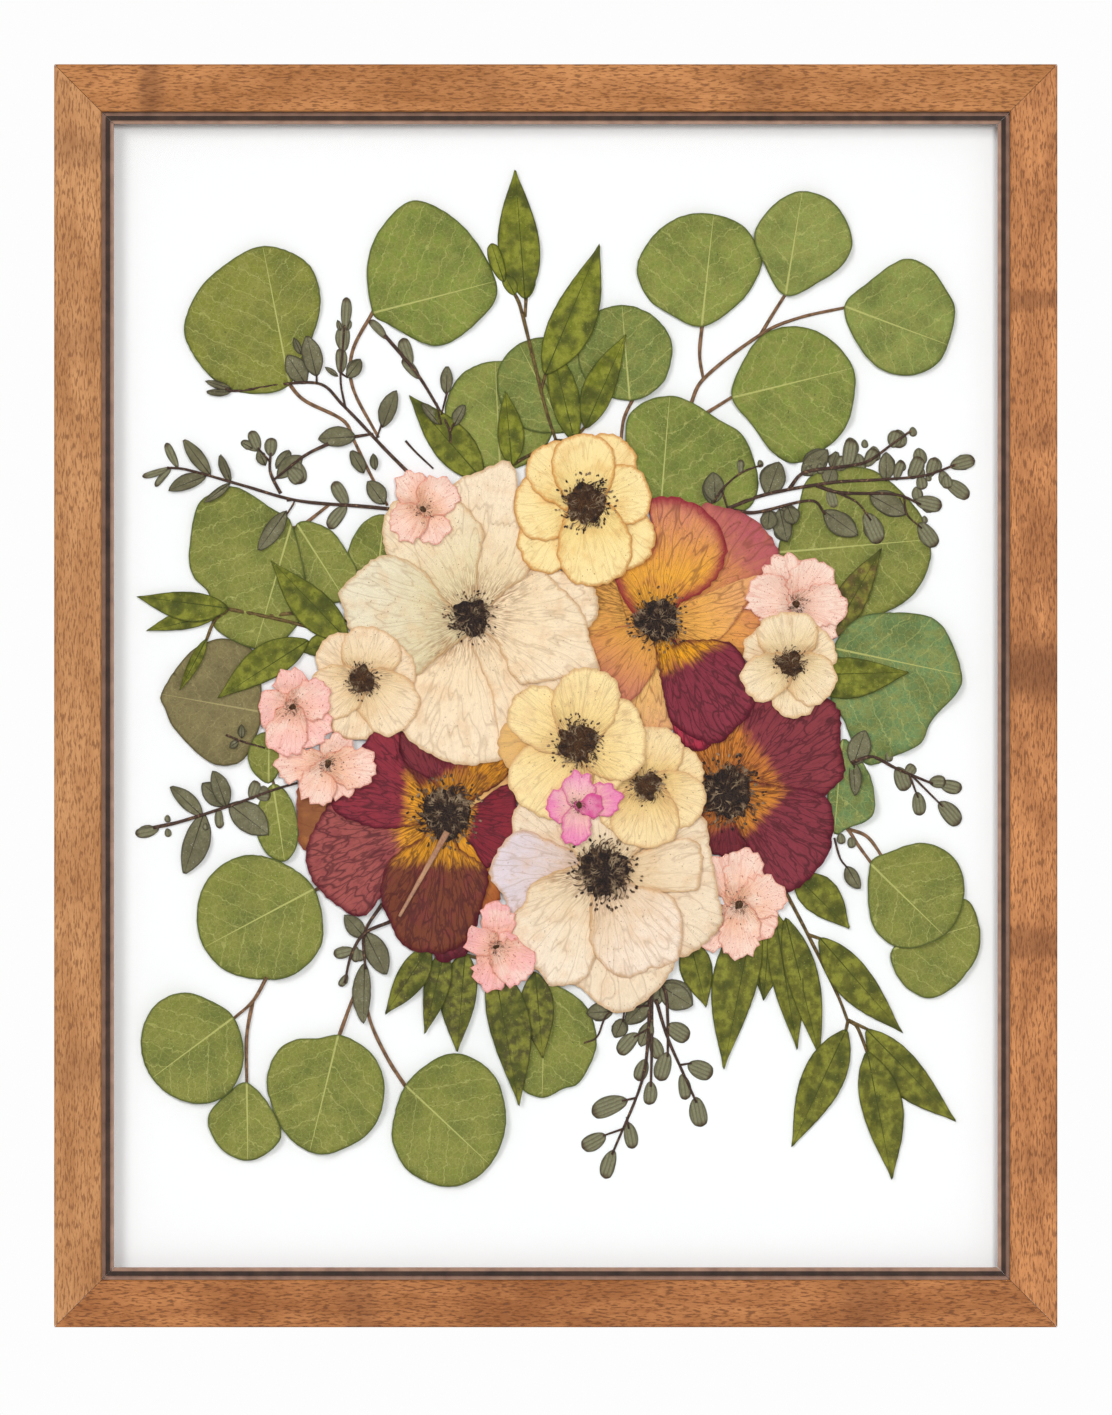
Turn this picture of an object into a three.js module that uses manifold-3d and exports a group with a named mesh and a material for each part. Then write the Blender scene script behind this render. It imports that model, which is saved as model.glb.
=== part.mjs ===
// Pressed flower frame: dried flowers, leaves and sprigs between a white mount board and a pane of
// glass, in a mitred wooden frame that hangs on a wall. Millimetres, +Z up, the front towards -Y.
// The origin is where a nail bears on the hanger.
import * as THREE from "three";
import { mergeVertices } from "three/addons/utils/BufferGeometryUtils.js";
import Module from "manifold-3d";

const wasm = await Module();
wasm.setup();

// Wooden rails, with a rebate behind their inner edge
const outerWidth = 306.6;
const outerHeight = 386;
const railFace = 14.4;
const railDepth = 20;
const lipWidth = 5;
const lipThickness = 3.6;
const arris = 0.4;
const mitreGap = 0.1;

// Stepped fillet strip, clamped between the rail's lip and the glass
const fitGap = 0.3;
const filletBase = 1.5;
const filletInset = 18.1;
const beadWidth = 1.3;
const beadHeight = 1.6;
const stepWidth = 1.1;
const stepHeight = 0.6;

// Sheets, front to back
const glassThickness = 1.8;
const plantSpace = 4.4;
const boardThickness = 1.6;
const panelThickness = 2.4;

// Sawtooth hanger on the back of the top rail
const hangerLength = 45;
const hangerHeight = 8;
const hangerPlate = 1;
const hangerRise = 2;
const hangerFoot = 8;
const toothDepth = 1.6;
const toothCount = 9;
const nailRadius = 1.8;
const nailHead = 0.7;

// Pressed tissue: how thick it is, and the step from one petal to the next over it
const tissue = 0.15;
const petalStep = 0.1;
const sprigThickness = 0.25;
const bossHeight = 0.8;
const restGap = 0.05;

// Corners closer than this are one corner
const weldDistance = 0.01;

// The plants' places are read from the photograph, in its pixels
const mmPerPixel = 0.3056;
const photoCentre = { x: 555.75, y: 695.75 };
const stemPixels = 2.8;
const twigPixels = 2.2;

// Distances from the wood's back plane, where front is negative
const lipBack = lipThickness - railDepth;
const filletFront = lipBack + fitGap;
const glassFront = filletFront + filletBase + fitGap;
const boardFace = glassFront + glassThickness + plantSpace;
const panelFace = boardFace + boardThickness + restGap;
const hangerCentre = outerHeight / 2 - (railFace - lipWidth) / 2;

const wood = { color: 0xb0763f, roughness: 0.55, metalness: 0 };
const darkWood = { color: 0x362820, roughness: 0.6, metalness: 0 };
const clearGlass = { color: 0xf4f8f8, roughness: 0.02, metalness: 0 };
const whiteCard = { color: 0xf8f8fa, roughness: 0.9, metalness: 0 };
const hardboard = { color: 0x6b4a30, roughness: 0.85, metalness: 0 };
const steel = { color: 0xb9bbbd, roughness: 0.35, metalness: 1 };
const eucalyptusGreen = { color: 0x8a9641, roughness: 0.8, metalness: 0 };
const agedGreen = { color: 0x7d7350, roughness: 0.8, metalness: 0 };
const ruscusGreen = { color: 0x6e7a1c, roughness: 0.7, metalness: 0 };
const seededGrey = { color: 0x6f7058, roughness: 0.8, metalness: 0 };
const creamPetal = { color: 0xfce4be, roughness: 0.8, metalness: 0 };
const yellowPetal = { color: 0xffe4a0, roughness: 0.8, metalness: 0 };
const orangePetal = { color: 0xd9824a, roughness: 0.8, metalness: 0 };
const burgundyPetal = { color: 0x8c3438, roughness: 0.8, metalness: 0 };
const pinkPetal = { color: 0xf5b4a5, roughness: 0.8, metalness: 0 };
const brightPink = { color: 0xe878a8, roughness: 0.8, metalness: 0 };

// Solids and meshes
function solidOf(geometry) {
  geometry.deleteAttribute("normal");
  geometry.deleteAttribute("uv");
  const merged = mergeVertices(geometry, 1e-4);
  return new wasm.Manifold(
    new wasm.Mesh({
      numProp: 3,
      vertProperties: merged.attributes.position.array,
      triVerts: Uint32Array.from(merged.index.array),
    }),
  );
}

function geometryOf(solid) {
  const mesh = solid.getMesh();
  const geometry = new THREE.BufferGeometry();
  geometry.setAttribute("position", new THREE.BufferAttribute(mesh.vertProperties, mesh.numProp));
  geometry.setIndex(new THREE.BufferAttribute(mesh.triVerts, 1));
  const welded = mergeVertices(geometry, weldDistance);
  const corners = welded.index.array;
  const kept = [];
  for (let i = 0; i < corners.length; i += 3) {
    const triangle = Array.from(corners.slice(i, i + 3));
    if (new Set(triangle).size === 3) kept.push(...triangle);
  }
  welded.setIndex(kept);
  welded.computeVertexNormals();
  return welded;
}

function named(name, geometry, finish) {
  const mesh = new THREE.Mesh(geometry, new THREE.MeshStandardMaterial(finish));
  mesh.name = name;
  return mesh;
}

// Frame: a strip whose ends are cut at 45 degrees, along one side of the frame
function mitredStrip(name, profile, side, finish) {
  const upright = side % 2 === 1;
  const length = upright ? outerHeight : outerWidth;
  const toCentre = (upright ? outerWidth : outerHeight) / 2;
  const outline = new THREE.Shape(profile.map(([inset, y]) => new THREE.Vector2(inset, y)));
  const geometry = new THREE.ExtrudeGeometry(outline, { depth: length, bevelEnabled: false });
  const corner = geometry.attributes.position;
  for (let i = 0; i < corner.count; i++) {
    const cut = corner.getX(i) + mitreGap;
    corner.setZ(i, corner.getZ(i) > 0 ? length / 2 - cut : cut - length / 2);
    corner.setX(i, corner.getX(i) - toCentre);
  }
  geometry.rotateY(-Math.PI / 2 - (side * Math.PI) / 2);
  geometry.computeVertexNormals();
  return named(name, geometry, finish);
}

// Sections, as distance in from the frame's outer edge and place front to back
const railSection = [
  [0, 0],
  [0, arris - railDepth],
  [arris, -railDepth],
  [railFace - arris, -railDepth],
  [railFace, arris - railDepth],
  [railFace, lipBack],
  [railFace - lipWidth, lipBack],
  [railFace - lipWidth, 0],
];
const rebateInset = railFace - lipWidth + fitGap;
const stepInset = filletInset - stepWidth;
const filletSection = [
  [rebateInset, filletFront + filletBase],
  [rebateInset, filletFront],
  [stepInset - beadWidth, filletFront],
  [stepInset - beadWidth, filletFront - beadHeight],
  [stepInset, filletFront - beadHeight],
  [stepInset, filletFront - stepHeight],
  [filletInset, filletFront - stepHeight],
  [filletInset, filletFront + filletBase],
];

function sheet(name, front, thickness, finish) {
  const width = outerWidth - 2 * rebateInset;
  const height = outerHeight - 2 * rebateInset;
  const geometry = new THREE.BoxGeometry(width, thickness, height);
  geometry.translate(0, front + thickness / 2, 0);
  return named(name, geometry, finish);
}

function hanger() {
  const half = hangerLength / 2;
  const inner = half - hangerFoot;
  const bridge = inner - hangerRise;
  const rise = restGap + hangerRise;
  const strap = new THREE.Shape([
    new THREE.Vector2(-half, restGap),
    new THREE.Vector2(-inner, restGap),
    new THREE.Vector2(-bridge, rise),
    new THREE.Vector2(bridge, rise),
    new THREE.Vector2(inner, restGap),
    new THREE.Vector2(half, restGap),
    new THREE.Vector2(half, restGap + hangerPlate),
    new THREE.Vector2(inner, restGap + hangerPlate),
    new THREE.Vector2(bridge, rise + hangerPlate),
    new THREE.Vector2(-bridge, rise + hangerPlate),
    new THREE.Vector2(-inner, restGap + hangerPlate),
    new THREE.Vector2(-half, restGap + hangerPlate),
  ]);
  const plate = new THREE.ExtrudeGeometry(strap, { depth: hangerHeight, bevelEnabled: false });
  plate.translate(0, 0, hangerCentre - hangerHeight / 2);
  let solid = solidOf(plate);
  const pitch = (2 * bridge) / (toothCount + 1);
  for (let i = 1; i <= toothCount; i++) {
    const notch = new THREE.CylinderGeometry(toothDepth, toothDepth, 3 * hangerRise, 4);
    notch.translate(i * pitch - bridge, rise, hangerCentre - hangerHeight / 2);
    solid = solid.subtract(solidOf(notch));
  }
  for (const x of [-1, 1]) {
    const head = new THREE.CylinderGeometry(nailRadius, nailRadius, nailHead + hangerPlate / 2, 12);
    const middle = restGap + (hangerPlate * 3) / 4 + nailHead / 2;
    head.translate(x * (half - hangerFoot / 2), middle, hangerCentre);
    solid = solid.add(solidOf(head));
  }
  return named("hanger", geometryOf(solid), steel);
}

// Outlines of leaves, petals and stems, in millimetres across the board
function spot([x, y]) {
  return new THREE.Vector2((x - photoCentre.x) * mmPerPixel, (photoCentre.y - y) * mmPerPixel);
}

// Half width at shares of the length, from base to tip
const leafForm = [
  [0.16, 0.66],
  [0.42, 1],
  [0.76, 0.6],
];
const petalForm = [
  [0.4, 0.7],
  [0.72, 1],
  [0.94, 0.6],
];
const budForm = [[0.5, 1]];

function blade([x0, y0, x1, y1, width], form) {
  const base = spot([x0, y0]);
  const tip = spot([x1, y1]);
  const along = tip.clone().sub(base);
  const across = new THREE.Vector2(-along.y, along.x).setLength((width * mmPerPixel) / 2);
  const edge = (side) =>
    form.map(([t, w]) => base.clone().addScaledVector(along, t).addScaledVector(across, side * w));
  return [base, ...edge(1), tip, ...edge(-1).reverse()];
}

function ribbon(path, pixels) {
  const line = path.map(spot);
  const edge = (side) =>
    line.map((point, i) => {
      const before = line[Math.max(i - 1, 0)];
      const after = line[Math.min(i + 1, line.length - 1)];
      const across = new THREE.Vector2(before.y - after.y, after.x - before.x);
      return point.clone().addScaledVector(across.setLength((pixels * mmPerPixel) / 2), side);
    });
  return [...edge(1), ...edge(-1).reverse()];
}

function disc([x, y, radius]) {
  const centre = spot([x, y]);
  const corners = 8;
  return Array.from({ length: corners }, (_, i) => {
    const angle = (2 * Math.PI * i) / corners;
    const out = new THREE.Vector2(Math.cos(angle), Math.sin(angle));
    return centre.clone().addScaledVector(out, radius * mmPerPixel);
  });
}

// A plant is a list of flat parts, each with its lowest and highest distance from the plant's back
function partsOf(plant) {
  const part = (outline, low, thickness) => ({ outline, low, high: low + thickness });
  const sprigPart = (outline) => part(outline, 0, sprigThickness);
  const parts = [];
  for (const stem of plant.stems ?? []) parts.push(sprigPart(ribbon(stem, stemPixels)));
  for (const twig of plant.twigs ?? []) parts.push(sprigPart(ribbon(twig, twigPixels)));
  for (const bud of plant.buds ?? []) parts.push(sprigPart(blade(bud, budForm)));
  for (const leaf of plant.blades ?? []) parts.push(sprigPart(blade(leaf, leafForm)));
  (plant.leaves ?? []).forEach((tier, i) => {
    for (const leaf of tier) parts.push(part(leaf.map(spot), i * petalStep, tissue));
  });
  (plant.petals ?? []).forEach((tier, i) => {
    for (const petal of tier) {
      const outline = Array.isArray(petal[0]) ? petal.map(spot) : blade(petal, petalForm);
      parts.push(part(outline, i * petalStep, tissue));
    }
  });
  if (plant.boss) parts.push(part(disc(plant.boss), 0, bossHeight));
  return parts;
}

// Heights already taken above the board, on a grid, so that each plant rests on those below it
const cell = 0.6;
const columns = Math.ceil(outerWidth / cell);
const heights = new Float32Array(columns * Math.ceil(outerHeight / cell));

function nearEdge(point, outline) {
  const closest = new THREE.Vector3();
  const edge = new THREE.Line3();
  const here = new THREE.Vector3(point.x, point.y, 0);
  return outline.some((corner, i) => {
    const next = outline[(i + 1) % outline.length];
    edge.start.set(corner.x, corner.y, 0);
    edge.end.set(next.x, next.y, 0);
    return edge.closestPointToPoint(here, true, closest).distanceTo(here) < cell;
  });
}

function isInside(point, outline) {
  let inside = false;
  outline.forEach((a, i) => {
    const b = outline[(i + 1) % outline.length];
    const crosses = a.y > point.y !== b.y > point.y;
    if (crosses && point.x < a.x + ((b.x - a.x) * (point.y - a.y)) / (b.y - a.y)) inside = !inside;
  });
  return inside;
}

function cellsUnder(outline) {
  const box = new THREE.Box2().setFromPoints(outline).expandByScalar(cell);
  const cells = [];
  const column = (x) => Math.floor((x + outerWidth / 2) / cell);
  const row = (z) => Math.floor((z + outerHeight / 2) / cell);
  for (let j = row(box.min.y); j <= row(box.max.y); j++) {
    for (let i = column(box.min.x); i <= column(box.max.x); i++) {
      const x = (i + 0.5) * cell - outerWidth / 2;
      const z = (j + 0.5) * cell - outerHeight / 2;
      const point = new THREE.Vector2(x, z);
      if (isInside(point, outline) || nearEdge(point, outline)) cells.push(j * columns + i);
    }
  }
  return cells;
}

function restingHeight(parts) {
  const cells = parts.map((part) => cellsUnder(part.outline));
  let lift = restGap;
  parts.forEach((part, i) => {
    for (const k of cells[i]) {
      if (heights[k] > 0) lift = Math.max(lift, heights[k] + restGap - part.low);
    }
  });
  parts.forEach((part, i) => {
    for (const k of cells[i]) heights[k] = Math.max(heights[k], lift + part.high);
  });
  return lift;
}

function plantMesh(plant) {
  const parts = partsOf(plant);
  const lift = restingHeight(parts);
  const solids = parts.map(({ outline, low, high }) => {
    const depth = high - low;
    const plate = new THREE.ExtrudeGeometry(new THREE.Shape(outline), { depth, bevelEnabled: false });
    plate.rotateX(Math.PI / 2);
    plate.translate(0, boardFace - lift - low, 0);
    return solidOf(plate);
  });
  const whole = solids.reduce((joined, solid) => joined.add(solid));
  return named(plant.name, geometryOf(whole), plant.finish);
}

// Plants in the order they were laid down, from the board to the glass. Outlines and stems are
// lists of pixels. Blades, buds and plain petals are [base x, base y, tip x, tip y, width]. A list
// of tiers goes from the back one to the front one, and a boss is [x, y, radius].
const eucalyptus = [
  {
    name: "eucalyptus_leaf_top_left",
    stems: [[[286, 380], [303, 399], [343, 420], [354, 441], [371, 476], [387, 505]]],
    leaves: [[[
      [289, 384], [251, 393], [214, 380], [184, 336], [192, 299], [217, 269],
      [262, 245], [306, 261], [320, 297], [312, 336],
    ]]],
  },
  {
    name: "eucalyptus_leaf_top_middle",
    stems: [[[374, 308], [352, 350], [352, 386], [378, 437]]],
    leaves: [[[
      [372, 312], [367, 262], [382, 225], [415, 199], [464, 226], [496, 280],
      [489, 309], [439, 345], [385, 322],
    ]]],
  },
  {
    name: "eucalyptus_spray_top_right",
    stems: [
      [[690, 406], [704, 378], [762, 333], [799, 317], [848, 306]],
      [[703, 320], [700, 354], [704, 380]],
      [[761, 334], [771, 317], [788, 290]],
      [[704, 414], [736, 394]],
      [[690, 406], [704, 414]],
    ],
    leaves: [
      [
        [
          [702, 326], [668, 312], [647, 296], [637, 266], [654, 234], [682, 215], [714, 213],
          [744, 225], [762, 255], [758, 276], [739, 303],
        ],
        [
          [845, 305], [868, 282], [904, 258], [930, 266], [946, 287], [956, 308], [949, 344],
          [936, 365], [909, 375], [879, 367], [856, 340],
        ],
        [
          [732, 397], [741, 365], [762, 335], [794, 325], [828, 336], [854, 367], [854, 402],
          [845, 429], [826, 448], [796, 463], [773, 452], [753, 425],
        ],
      ],
      [[
        [786, 295], [764, 262], [755, 232], [776, 202], [803, 190], [835, 202], [853, 237],
        [845, 262], [822, 280],
      ]],
    ],
  },
  {
    name: "eucalyptus_leaf_top_centre",
    stems: [[[642, 383], [625, 415], [621, 440]]],
    leaves: [[[
      [630, 400], [661, 385], [672, 357], [670, 335], [651, 313], [622, 304], [591, 315],
      [577, 346], [590, 385],
    ]]],
  },
  {
    name: "eucalyptus_leaf_upper_centre",
    leaves: [[[
      [500, 470], [466, 458], [447, 430], [446, 400], [463, 372], [495, 360], [528, 367],
      [550, 390], [555, 425], [535, 458],
    ]]],
  },
  {
    name: "eucalyptus_leaf_upper_right",
    leaves: [[[
      [660, 520], [633, 480], [626, 423], [643, 402], [670, 395], [691, 401], [718, 418],
      [744, 436], [759, 479], [749, 508], [710, 520],
    ]]],
  },
  {
    name: "eucalyptus_leaf_aged",
    finish: agedGreen,
    leaves: [[[
      [261, 712], [256, 655], [229, 639], [208, 641], [186, 655], [160, 694], [164, 709],
      [175, 731], [210, 763], [240, 762], [256, 735],
    ]]],
  },
  {
    name: "eucalyptus_pair_left",
    stems: [[[288, 528], [301, 525], [330, 503]]],
    leaves: [
      [[
        [296, 523], [328, 528], [347, 552], [357, 575], [345, 600], [310, 600], [290, 570],
      ]],
      [[
        [291, 523], [273, 509], [234, 486], [208, 494], [195, 509], [188, 557], [193, 577],
        [208, 594], [214, 628], [254, 649], [278, 646], [306, 602],
      ]],
    ],
  },
  {
    name: "eucalyptus_pair_lower_left",
    stems: [[[268, 770], [275, 790]]],
    leaves: [[
      [
        [268, 784], [252, 772], [247, 755], [254, 737], [268, 732], [279, 745], [280, 768],
      ],
      [
        [272, 784], [257, 806], [256, 835], [268, 856], [284, 862], [296, 848], [297, 820],
        [288, 795],
      ],
    ]],
  },
  {
    name: "eucalyptus_leaf_left",
    stems: [[[312, 892], [325, 885]]],
    leaves: [[[
      [314, 889], [286, 865], [251, 855], [221, 865], [201, 890], [196, 920], [203, 948],
      [224, 971], [256, 980], [290, 977], [316, 955], [323, 930],
    ]]],
  },
  {
    name: "eucalyptus_spray_lower_left",
    stems: [
      [[266, 978], [252, 1002], [232, 1020]],
      [[252, 1002], [246, 1037], [246, 1086]],
    ],
    leaves: [
      [[
        [246, 1083], [226, 1095], [208, 1115], [210, 1134], [224, 1153], [247, 1162],
        [267, 1154], [281, 1136], [270, 1108],
      ]],
      [[
        [233, 1018], [217, 1005], [185, 993], [157, 1003], [142, 1028], [141, 1056],
        [151, 1079], [171, 1097], [201, 1105], [226, 1096], [240, 1074], [243, 1047],
      ]],
    ],
  },
  {
    name: "eucalyptus_spray_bottom",
    stems: [
      [[338, 1038], [356, 990], [365, 975]],
      [[407, 1090], [387, 1059], [369, 1019], [364, 977]],
    ],
    leaves: [[
      [
        [338, 1035], [318, 1039], [295, 1040], [276, 1053], [266, 1081], [272, 1109],
        [286, 1136], [309, 1153], [332, 1154], [364, 1138], [380, 1115], [384, 1083],
        [373, 1056], [355, 1042],
      ],
      [
        [405, 1086], [433, 1061], [456, 1054], [480, 1063], [498, 1082], [506, 1116],
        [502, 1143], [490, 1166], [471, 1182], [444, 1188], [410, 1174], [394, 1149],
        [392, 1126],
      ],
    ]],
  },
  {
    name: "eucalyptus_leaf_bottom",
    leaves: [[[
      [545, 985], [572, 994], [590, 1013], [597, 1042], [591, 1064], [578, 1085], [563, 1090],
      [542, 1099], [520, 1087], [515, 1050], [522, 1010],
    ]]],
  },
  {
    name: "eucalyptus_leaf_right_upper",
    leaves: [[[
      [779, 552], [797, 512], [812, 475], [870, 468], [916, 506], [931, 539], [930, 565],
      [916, 592], [893, 609], [856, 619], [815, 590],
    ]]],
  },
  {
    name: "ruscus_leaf_right_upper",
    finish: ruscusGreen,
    blades: [[830, 640, 883, 547, 32]],
  },
  {
    name: "eucalyptus_leaf_right_middle",
    leaves: [[[
      [834, 648], [853, 622], [876, 613], [926, 615], [947, 631], [963, 675], [957, 694],
      [933, 720], [922, 743], [901, 754], [866, 764], [843, 718], [831, 699],
    ]]],
  },
  {
    name: "eucalyptus_pair_right",
    stems: [
      [[828, 809], [848, 829], [860, 847], [874, 866]],
      [[848, 829], [868, 837], [885, 860]],
    ],
    leaves: [
      [[
        [893, 950], [895, 971], [909, 990], [930, 999], [952, 990], [968, 973], [980, 952],
        [980, 924], [966, 899], [930, 910],
      ]],
      [[
        [871, 864], [888, 853], [923, 843], [952, 855], [965, 881], [961, 914], [945, 936],
        [912, 949], [888, 943], [871, 919],
      ]],
    ],
  },
].map((plant) => ({ finish: eucalyptusGreen, ...plant }));

const ruscus = [
  {
    name: "ruscus_leaf_upper_left",
    blades: [[483, 480, 408, 394, 40]],
  },
  {
    name: "ruscus_sprig_top",
    stems: [
      [[513, 290], [520, 305], [533, 357], [546, 409], [556, 440]],
      [[526, 295], [525, 316]],
      [[556, 440], [575, 440]],
      [[541, 390], [546, 371]],
      [[572, 441], [586, 425]],
      [[512, 464], [556, 440]],
    ],
    blades: [
      [525, 298, 515, 167, 42],
      [526, 298, 536, 269, 10],
      [545, 374, 600, 242, 45],
      [585, 428, 627, 332, 32],
      [575, 442, 548, 332, 30],
      [512, 466, 505, 389, 27],
    ],
    buds: [
      [504, 281, 491, 242, 15],
      [515, 294, 505, 275, 14],
    ],
  },
  {
    name: "ruscus_sprig_left",
    stems: [
      [[224, 608], [264, 616], [301, 625], [338, 638]],
      [[269, 616], [291, 613], [319, 614], [346, 621]],
      [[228, 609], [214, 620], [205, 641]],
      [[306, 641], [319, 653], [338, 638]],
      [[338, 638], [346, 641]],
    ],
    blades: [
      [228, 608, 135, 596, 30],
      [218, 614, 144, 631, 20],
      [206, 638, 178, 692, 12],
      [348, 641, 270, 560, 38],
      [308, 640, 216, 699, 36],
      [338, 628, 303, 620, 20],
      [334, 640, 301, 652, 24],
    ],
  },
  {
    name: "ruscus_leaf_right",
    blades: [[800, 675, 911, 672, 42]],
  },
  {
    name: "ruscus_spray_lower_right",
    stems: [
      [[786, 892], [809, 936], [838, 995], [849, 1023]],
      [[849, 1021], [846, 1034]],
      [[849, 1021], [870, 1031]],
      [[850, 1022], [858, 1028], [869, 1056]],
      [[808, 935], [823, 940]],
      [[750, 915], [786, 892], [800, 875]],
      [[768, 937], [770, 915], [786, 892]],
    ],
    blades: [
      [795, 875, 851, 930, 38],
      [820, 938, 904, 1034, 38],
      [847, 1030, 792, 1149, 42],
      [868, 1052, 893, 1182, 42],
      [867, 1030, 958, 1123, 40],
      [786, 918, 821, 1061, 32],
      [775, 912, 798, 1052, 33],
      [755, 912, 724, 1071, 46],
      [770, 932, 764, 1002, 25],
    ],
  },
  {
    name: "ruscus_fan_bottom",
    stems: [[[428, 948], [465, 955], [500, 966], [536, 974]]],
    blades: [
      [430, 946, 384, 1016, 30],
      [445, 948, 424, 1036, 26],
      [465, 952, 457, 1054, 37],
      [493, 962, 519, 1108, 42],
      [535, 972, 543, 1060, 34],
    ],
  },
].map((plant) => ({ finish: ruscusGreen, ...plant }));

const seeded = [
  {
    name: "seeded_sprig_top_left",
    stems: [
      [[412, 476], [386, 450], [343, 405], [315, 382], [236, 390], [224, 388]],
      [[354, 436], [373, 433]],
    ],
    twigs: [
      [[345, 408], [340, 380], [342, 349], [344, 324]],
      [[316, 383], [316, 374]],
      [[381, 424], [376, 438]],
      [[340, 372], [346, 376]],
    ],
    blades: [
      [316, 376, 306, 334, 21],
      [305, 383, 286, 354, 22],
      [382, 427, 396, 389, 18],
      [356, 436, 317, 438, 21],
      [231, 388, 204, 380, 8],
      [231, 391, 204, 391, 8],
      [346, 377, 361, 358, 14],
    ],
    buds: [
      [344, 328, 346, 296, 11],
      [343, 351, 343, 325, 15],
      [340, 373, 340, 347, 12],
    ],
  },
  {
    name: "seeded_sprig_top",
    stems: [[[384, 334], [403, 356], [419, 376], [440, 411], [449, 429], [450, 442]]],
    twigs: [
      [[447, 391], [441, 414]],
      [[436, 402], [441, 424]],
      [[450, 430], [454, 422]],
    ],
    blades: [
      [446, 394, 447, 364, 13],
      [440, 424, 421, 402, 12],
      [453, 426, 465, 403, 12],
    ],
    buds: [
      [386, 338, 369, 319, 9],
      [411, 364, 402, 337, 14],
      [419, 378, 402, 358, 10],
    ],
  },
  {
    name: "seeded_sprig_left_upper",
    stems: [
      [[395, 509], [365, 506], [297, 500], [243, 485], [186, 469], [166, 467]],
      [[280, 493], [272, 478], [269, 468], [270, 452]],
      [[328, 443], [304, 455], [272, 480]],
    ],
    twigs: [
      [[270, 462], [257, 447]],
      [[286, 500], [294, 500], [286, 514]],
    ],
    blades: [
      [210, 475, 182, 438, 15],
      [230, 482, 219, 453, 10],
      [206, 475, 167, 490, 16],
      [230, 482, 203, 502, 9],
      [286, 510, 257, 551, 18],
      [302, 455, 276, 478, 18],
    ],
    buds: [
      [168, 467, 141, 476, 7],
      [170, 468, 154, 486, 7],
      [177, 467, 165, 442, 9],
      [347, 505, 333, 481, 14],
      [346, 505, 328, 528, 14],
      [270, 456, 271, 437, 13],
      [258, 450, 250, 430, 12],
      [258, 450, 240, 441, 9],
      [288, 468, 300, 482, 16],
    ],
  },
  {
    name: "seeded_sprig_right_upper",
    stems: [
      [[728, 508], [766, 494], [832, 482], [881, 479], [925, 475], [957, 464]],
      [[790, 488], [805, 472], [851, 465], [870, 460], [891, 445], [912, 430]],
      [[817, 485], [841, 492], [897, 494], [922, 504]],
      [[728, 508], [755, 512], [812, 500], [826, 514]],
    ],
    twigs: [
      [[714, 502], [724, 487], [742, 472], [763, 464]],
      [[722, 489], [728, 508]],
      [[838, 492], [858, 502], [872, 520]],
      [[905, 497], [908, 514], [923, 528]],
    ],
    blades: [
      [716, 502, 714, 471, 22],
      [768, 495, 780, 461, 26],
      [802, 474, 829, 449, 22],
      [830, 484, 836, 464, 18],
      [832, 468, 838, 450, 12],
      [887, 481, 887, 451, 17],
      [870, 494, 907, 514, 24],
      [824, 510, 859, 535, 23],
      [788, 506, 796, 524, 18],
      [770, 510, 768, 530, 18],
      [780, 508, 788, 542, 20],
    ],
    buds: [
      [741, 474, 741, 459, 7],
      [847, 468, 852, 438, 15],
      [893, 447, 899, 430, 15],
      [867, 466, 876, 448, 13],
      [838, 470, 846, 456, 14],
      [897, 480, 903, 460, 10],
      [912, 478, 921, 456, 15],
      [930, 477, 936, 457, 12],
      [951, 466, 976, 459, 15],
      [942, 470, 950, 486, 12],
      [946, 480, 970, 497, 15],
      [916, 500, 943, 506, 16],
      [830, 486, 836, 508, 12],
      [866, 512, 880, 543, 19],
      [920, 522, 937, 546, 17],
    ],
  },
  {
    name: "seeded_sprig_left_lower",
    stems: [[[152, 828], [179, 822], [229, 806], [273, 790], [297, 783]]],
    blades: [
      [202, 817, 169, 786, 17],
      [203, 813, 183, 875, 27],
      [226, 808, 212, 770, 19],
      [226, 806, 201, 783, 22],
      [228, 804, 268, 835, 30],
    ],
    buds: [
      [158, 829, 134, 834, 11],
      [218, 808, 219, 829, 9],
      [250, 800, 256, 781, 12],
      [254, 794, 270, 796, 14],
    ],
  },
  {
    name: "seeded_sprig_below_left",
    stems: [
      [[390, 922], [364, 934], [351, 955], [344, 984]],
      [[382, 904], [364, 934], [365, 970]],
    ],
    blades: [
      [365, 939, 344, 915, 18],
      [364, 932, 386, 976, 24],
      [364, 963, 363, 1025, 19],
    ],
    buds: [
      [353, 950, 333, 955, 12],
      [356, 947, 355, 963, 9],
      [347, 975, 339, 987, 8],
    ],
  },
  {
    name: "seeded_sprig_bottom",
    stems: [
      [[650, 985], [648, 1044], [641, 1086], [612, 1156]],
      [[652, 985], [652, 1051], [651, 1088]],
      [[652, 985], [667, 1036], [683, 1073], [697, 1104]],
      [[650, 985], [664, 988], [668, 1020], [668, 1058]],
    ],
    twigs: [
      [[623, 1130], [603, 1137]],
      [[627, 1118], [629, 1130]],
      [[636, 1099], [622, 1102]],
      [[680, 1066], [692, 1064]],
      [[648, 1030], [634, 1038]],
      [[652, 1006], [610, 1013], [597, 1038], [584, 1044]],
      [[625, 1009], [623, 1023]],
    ],
    blades: [
      [651, 1021, 640, 1048, 15],
      [660, 986, 693, 1007, 27],
      [650, 999, 625, 1025, 20],
      [659, 986, 657, 1007, 12],
      [614, 1012, 586, 1014, 19],
      [624, 1019, 615, 1039, 17],
    ],
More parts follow.
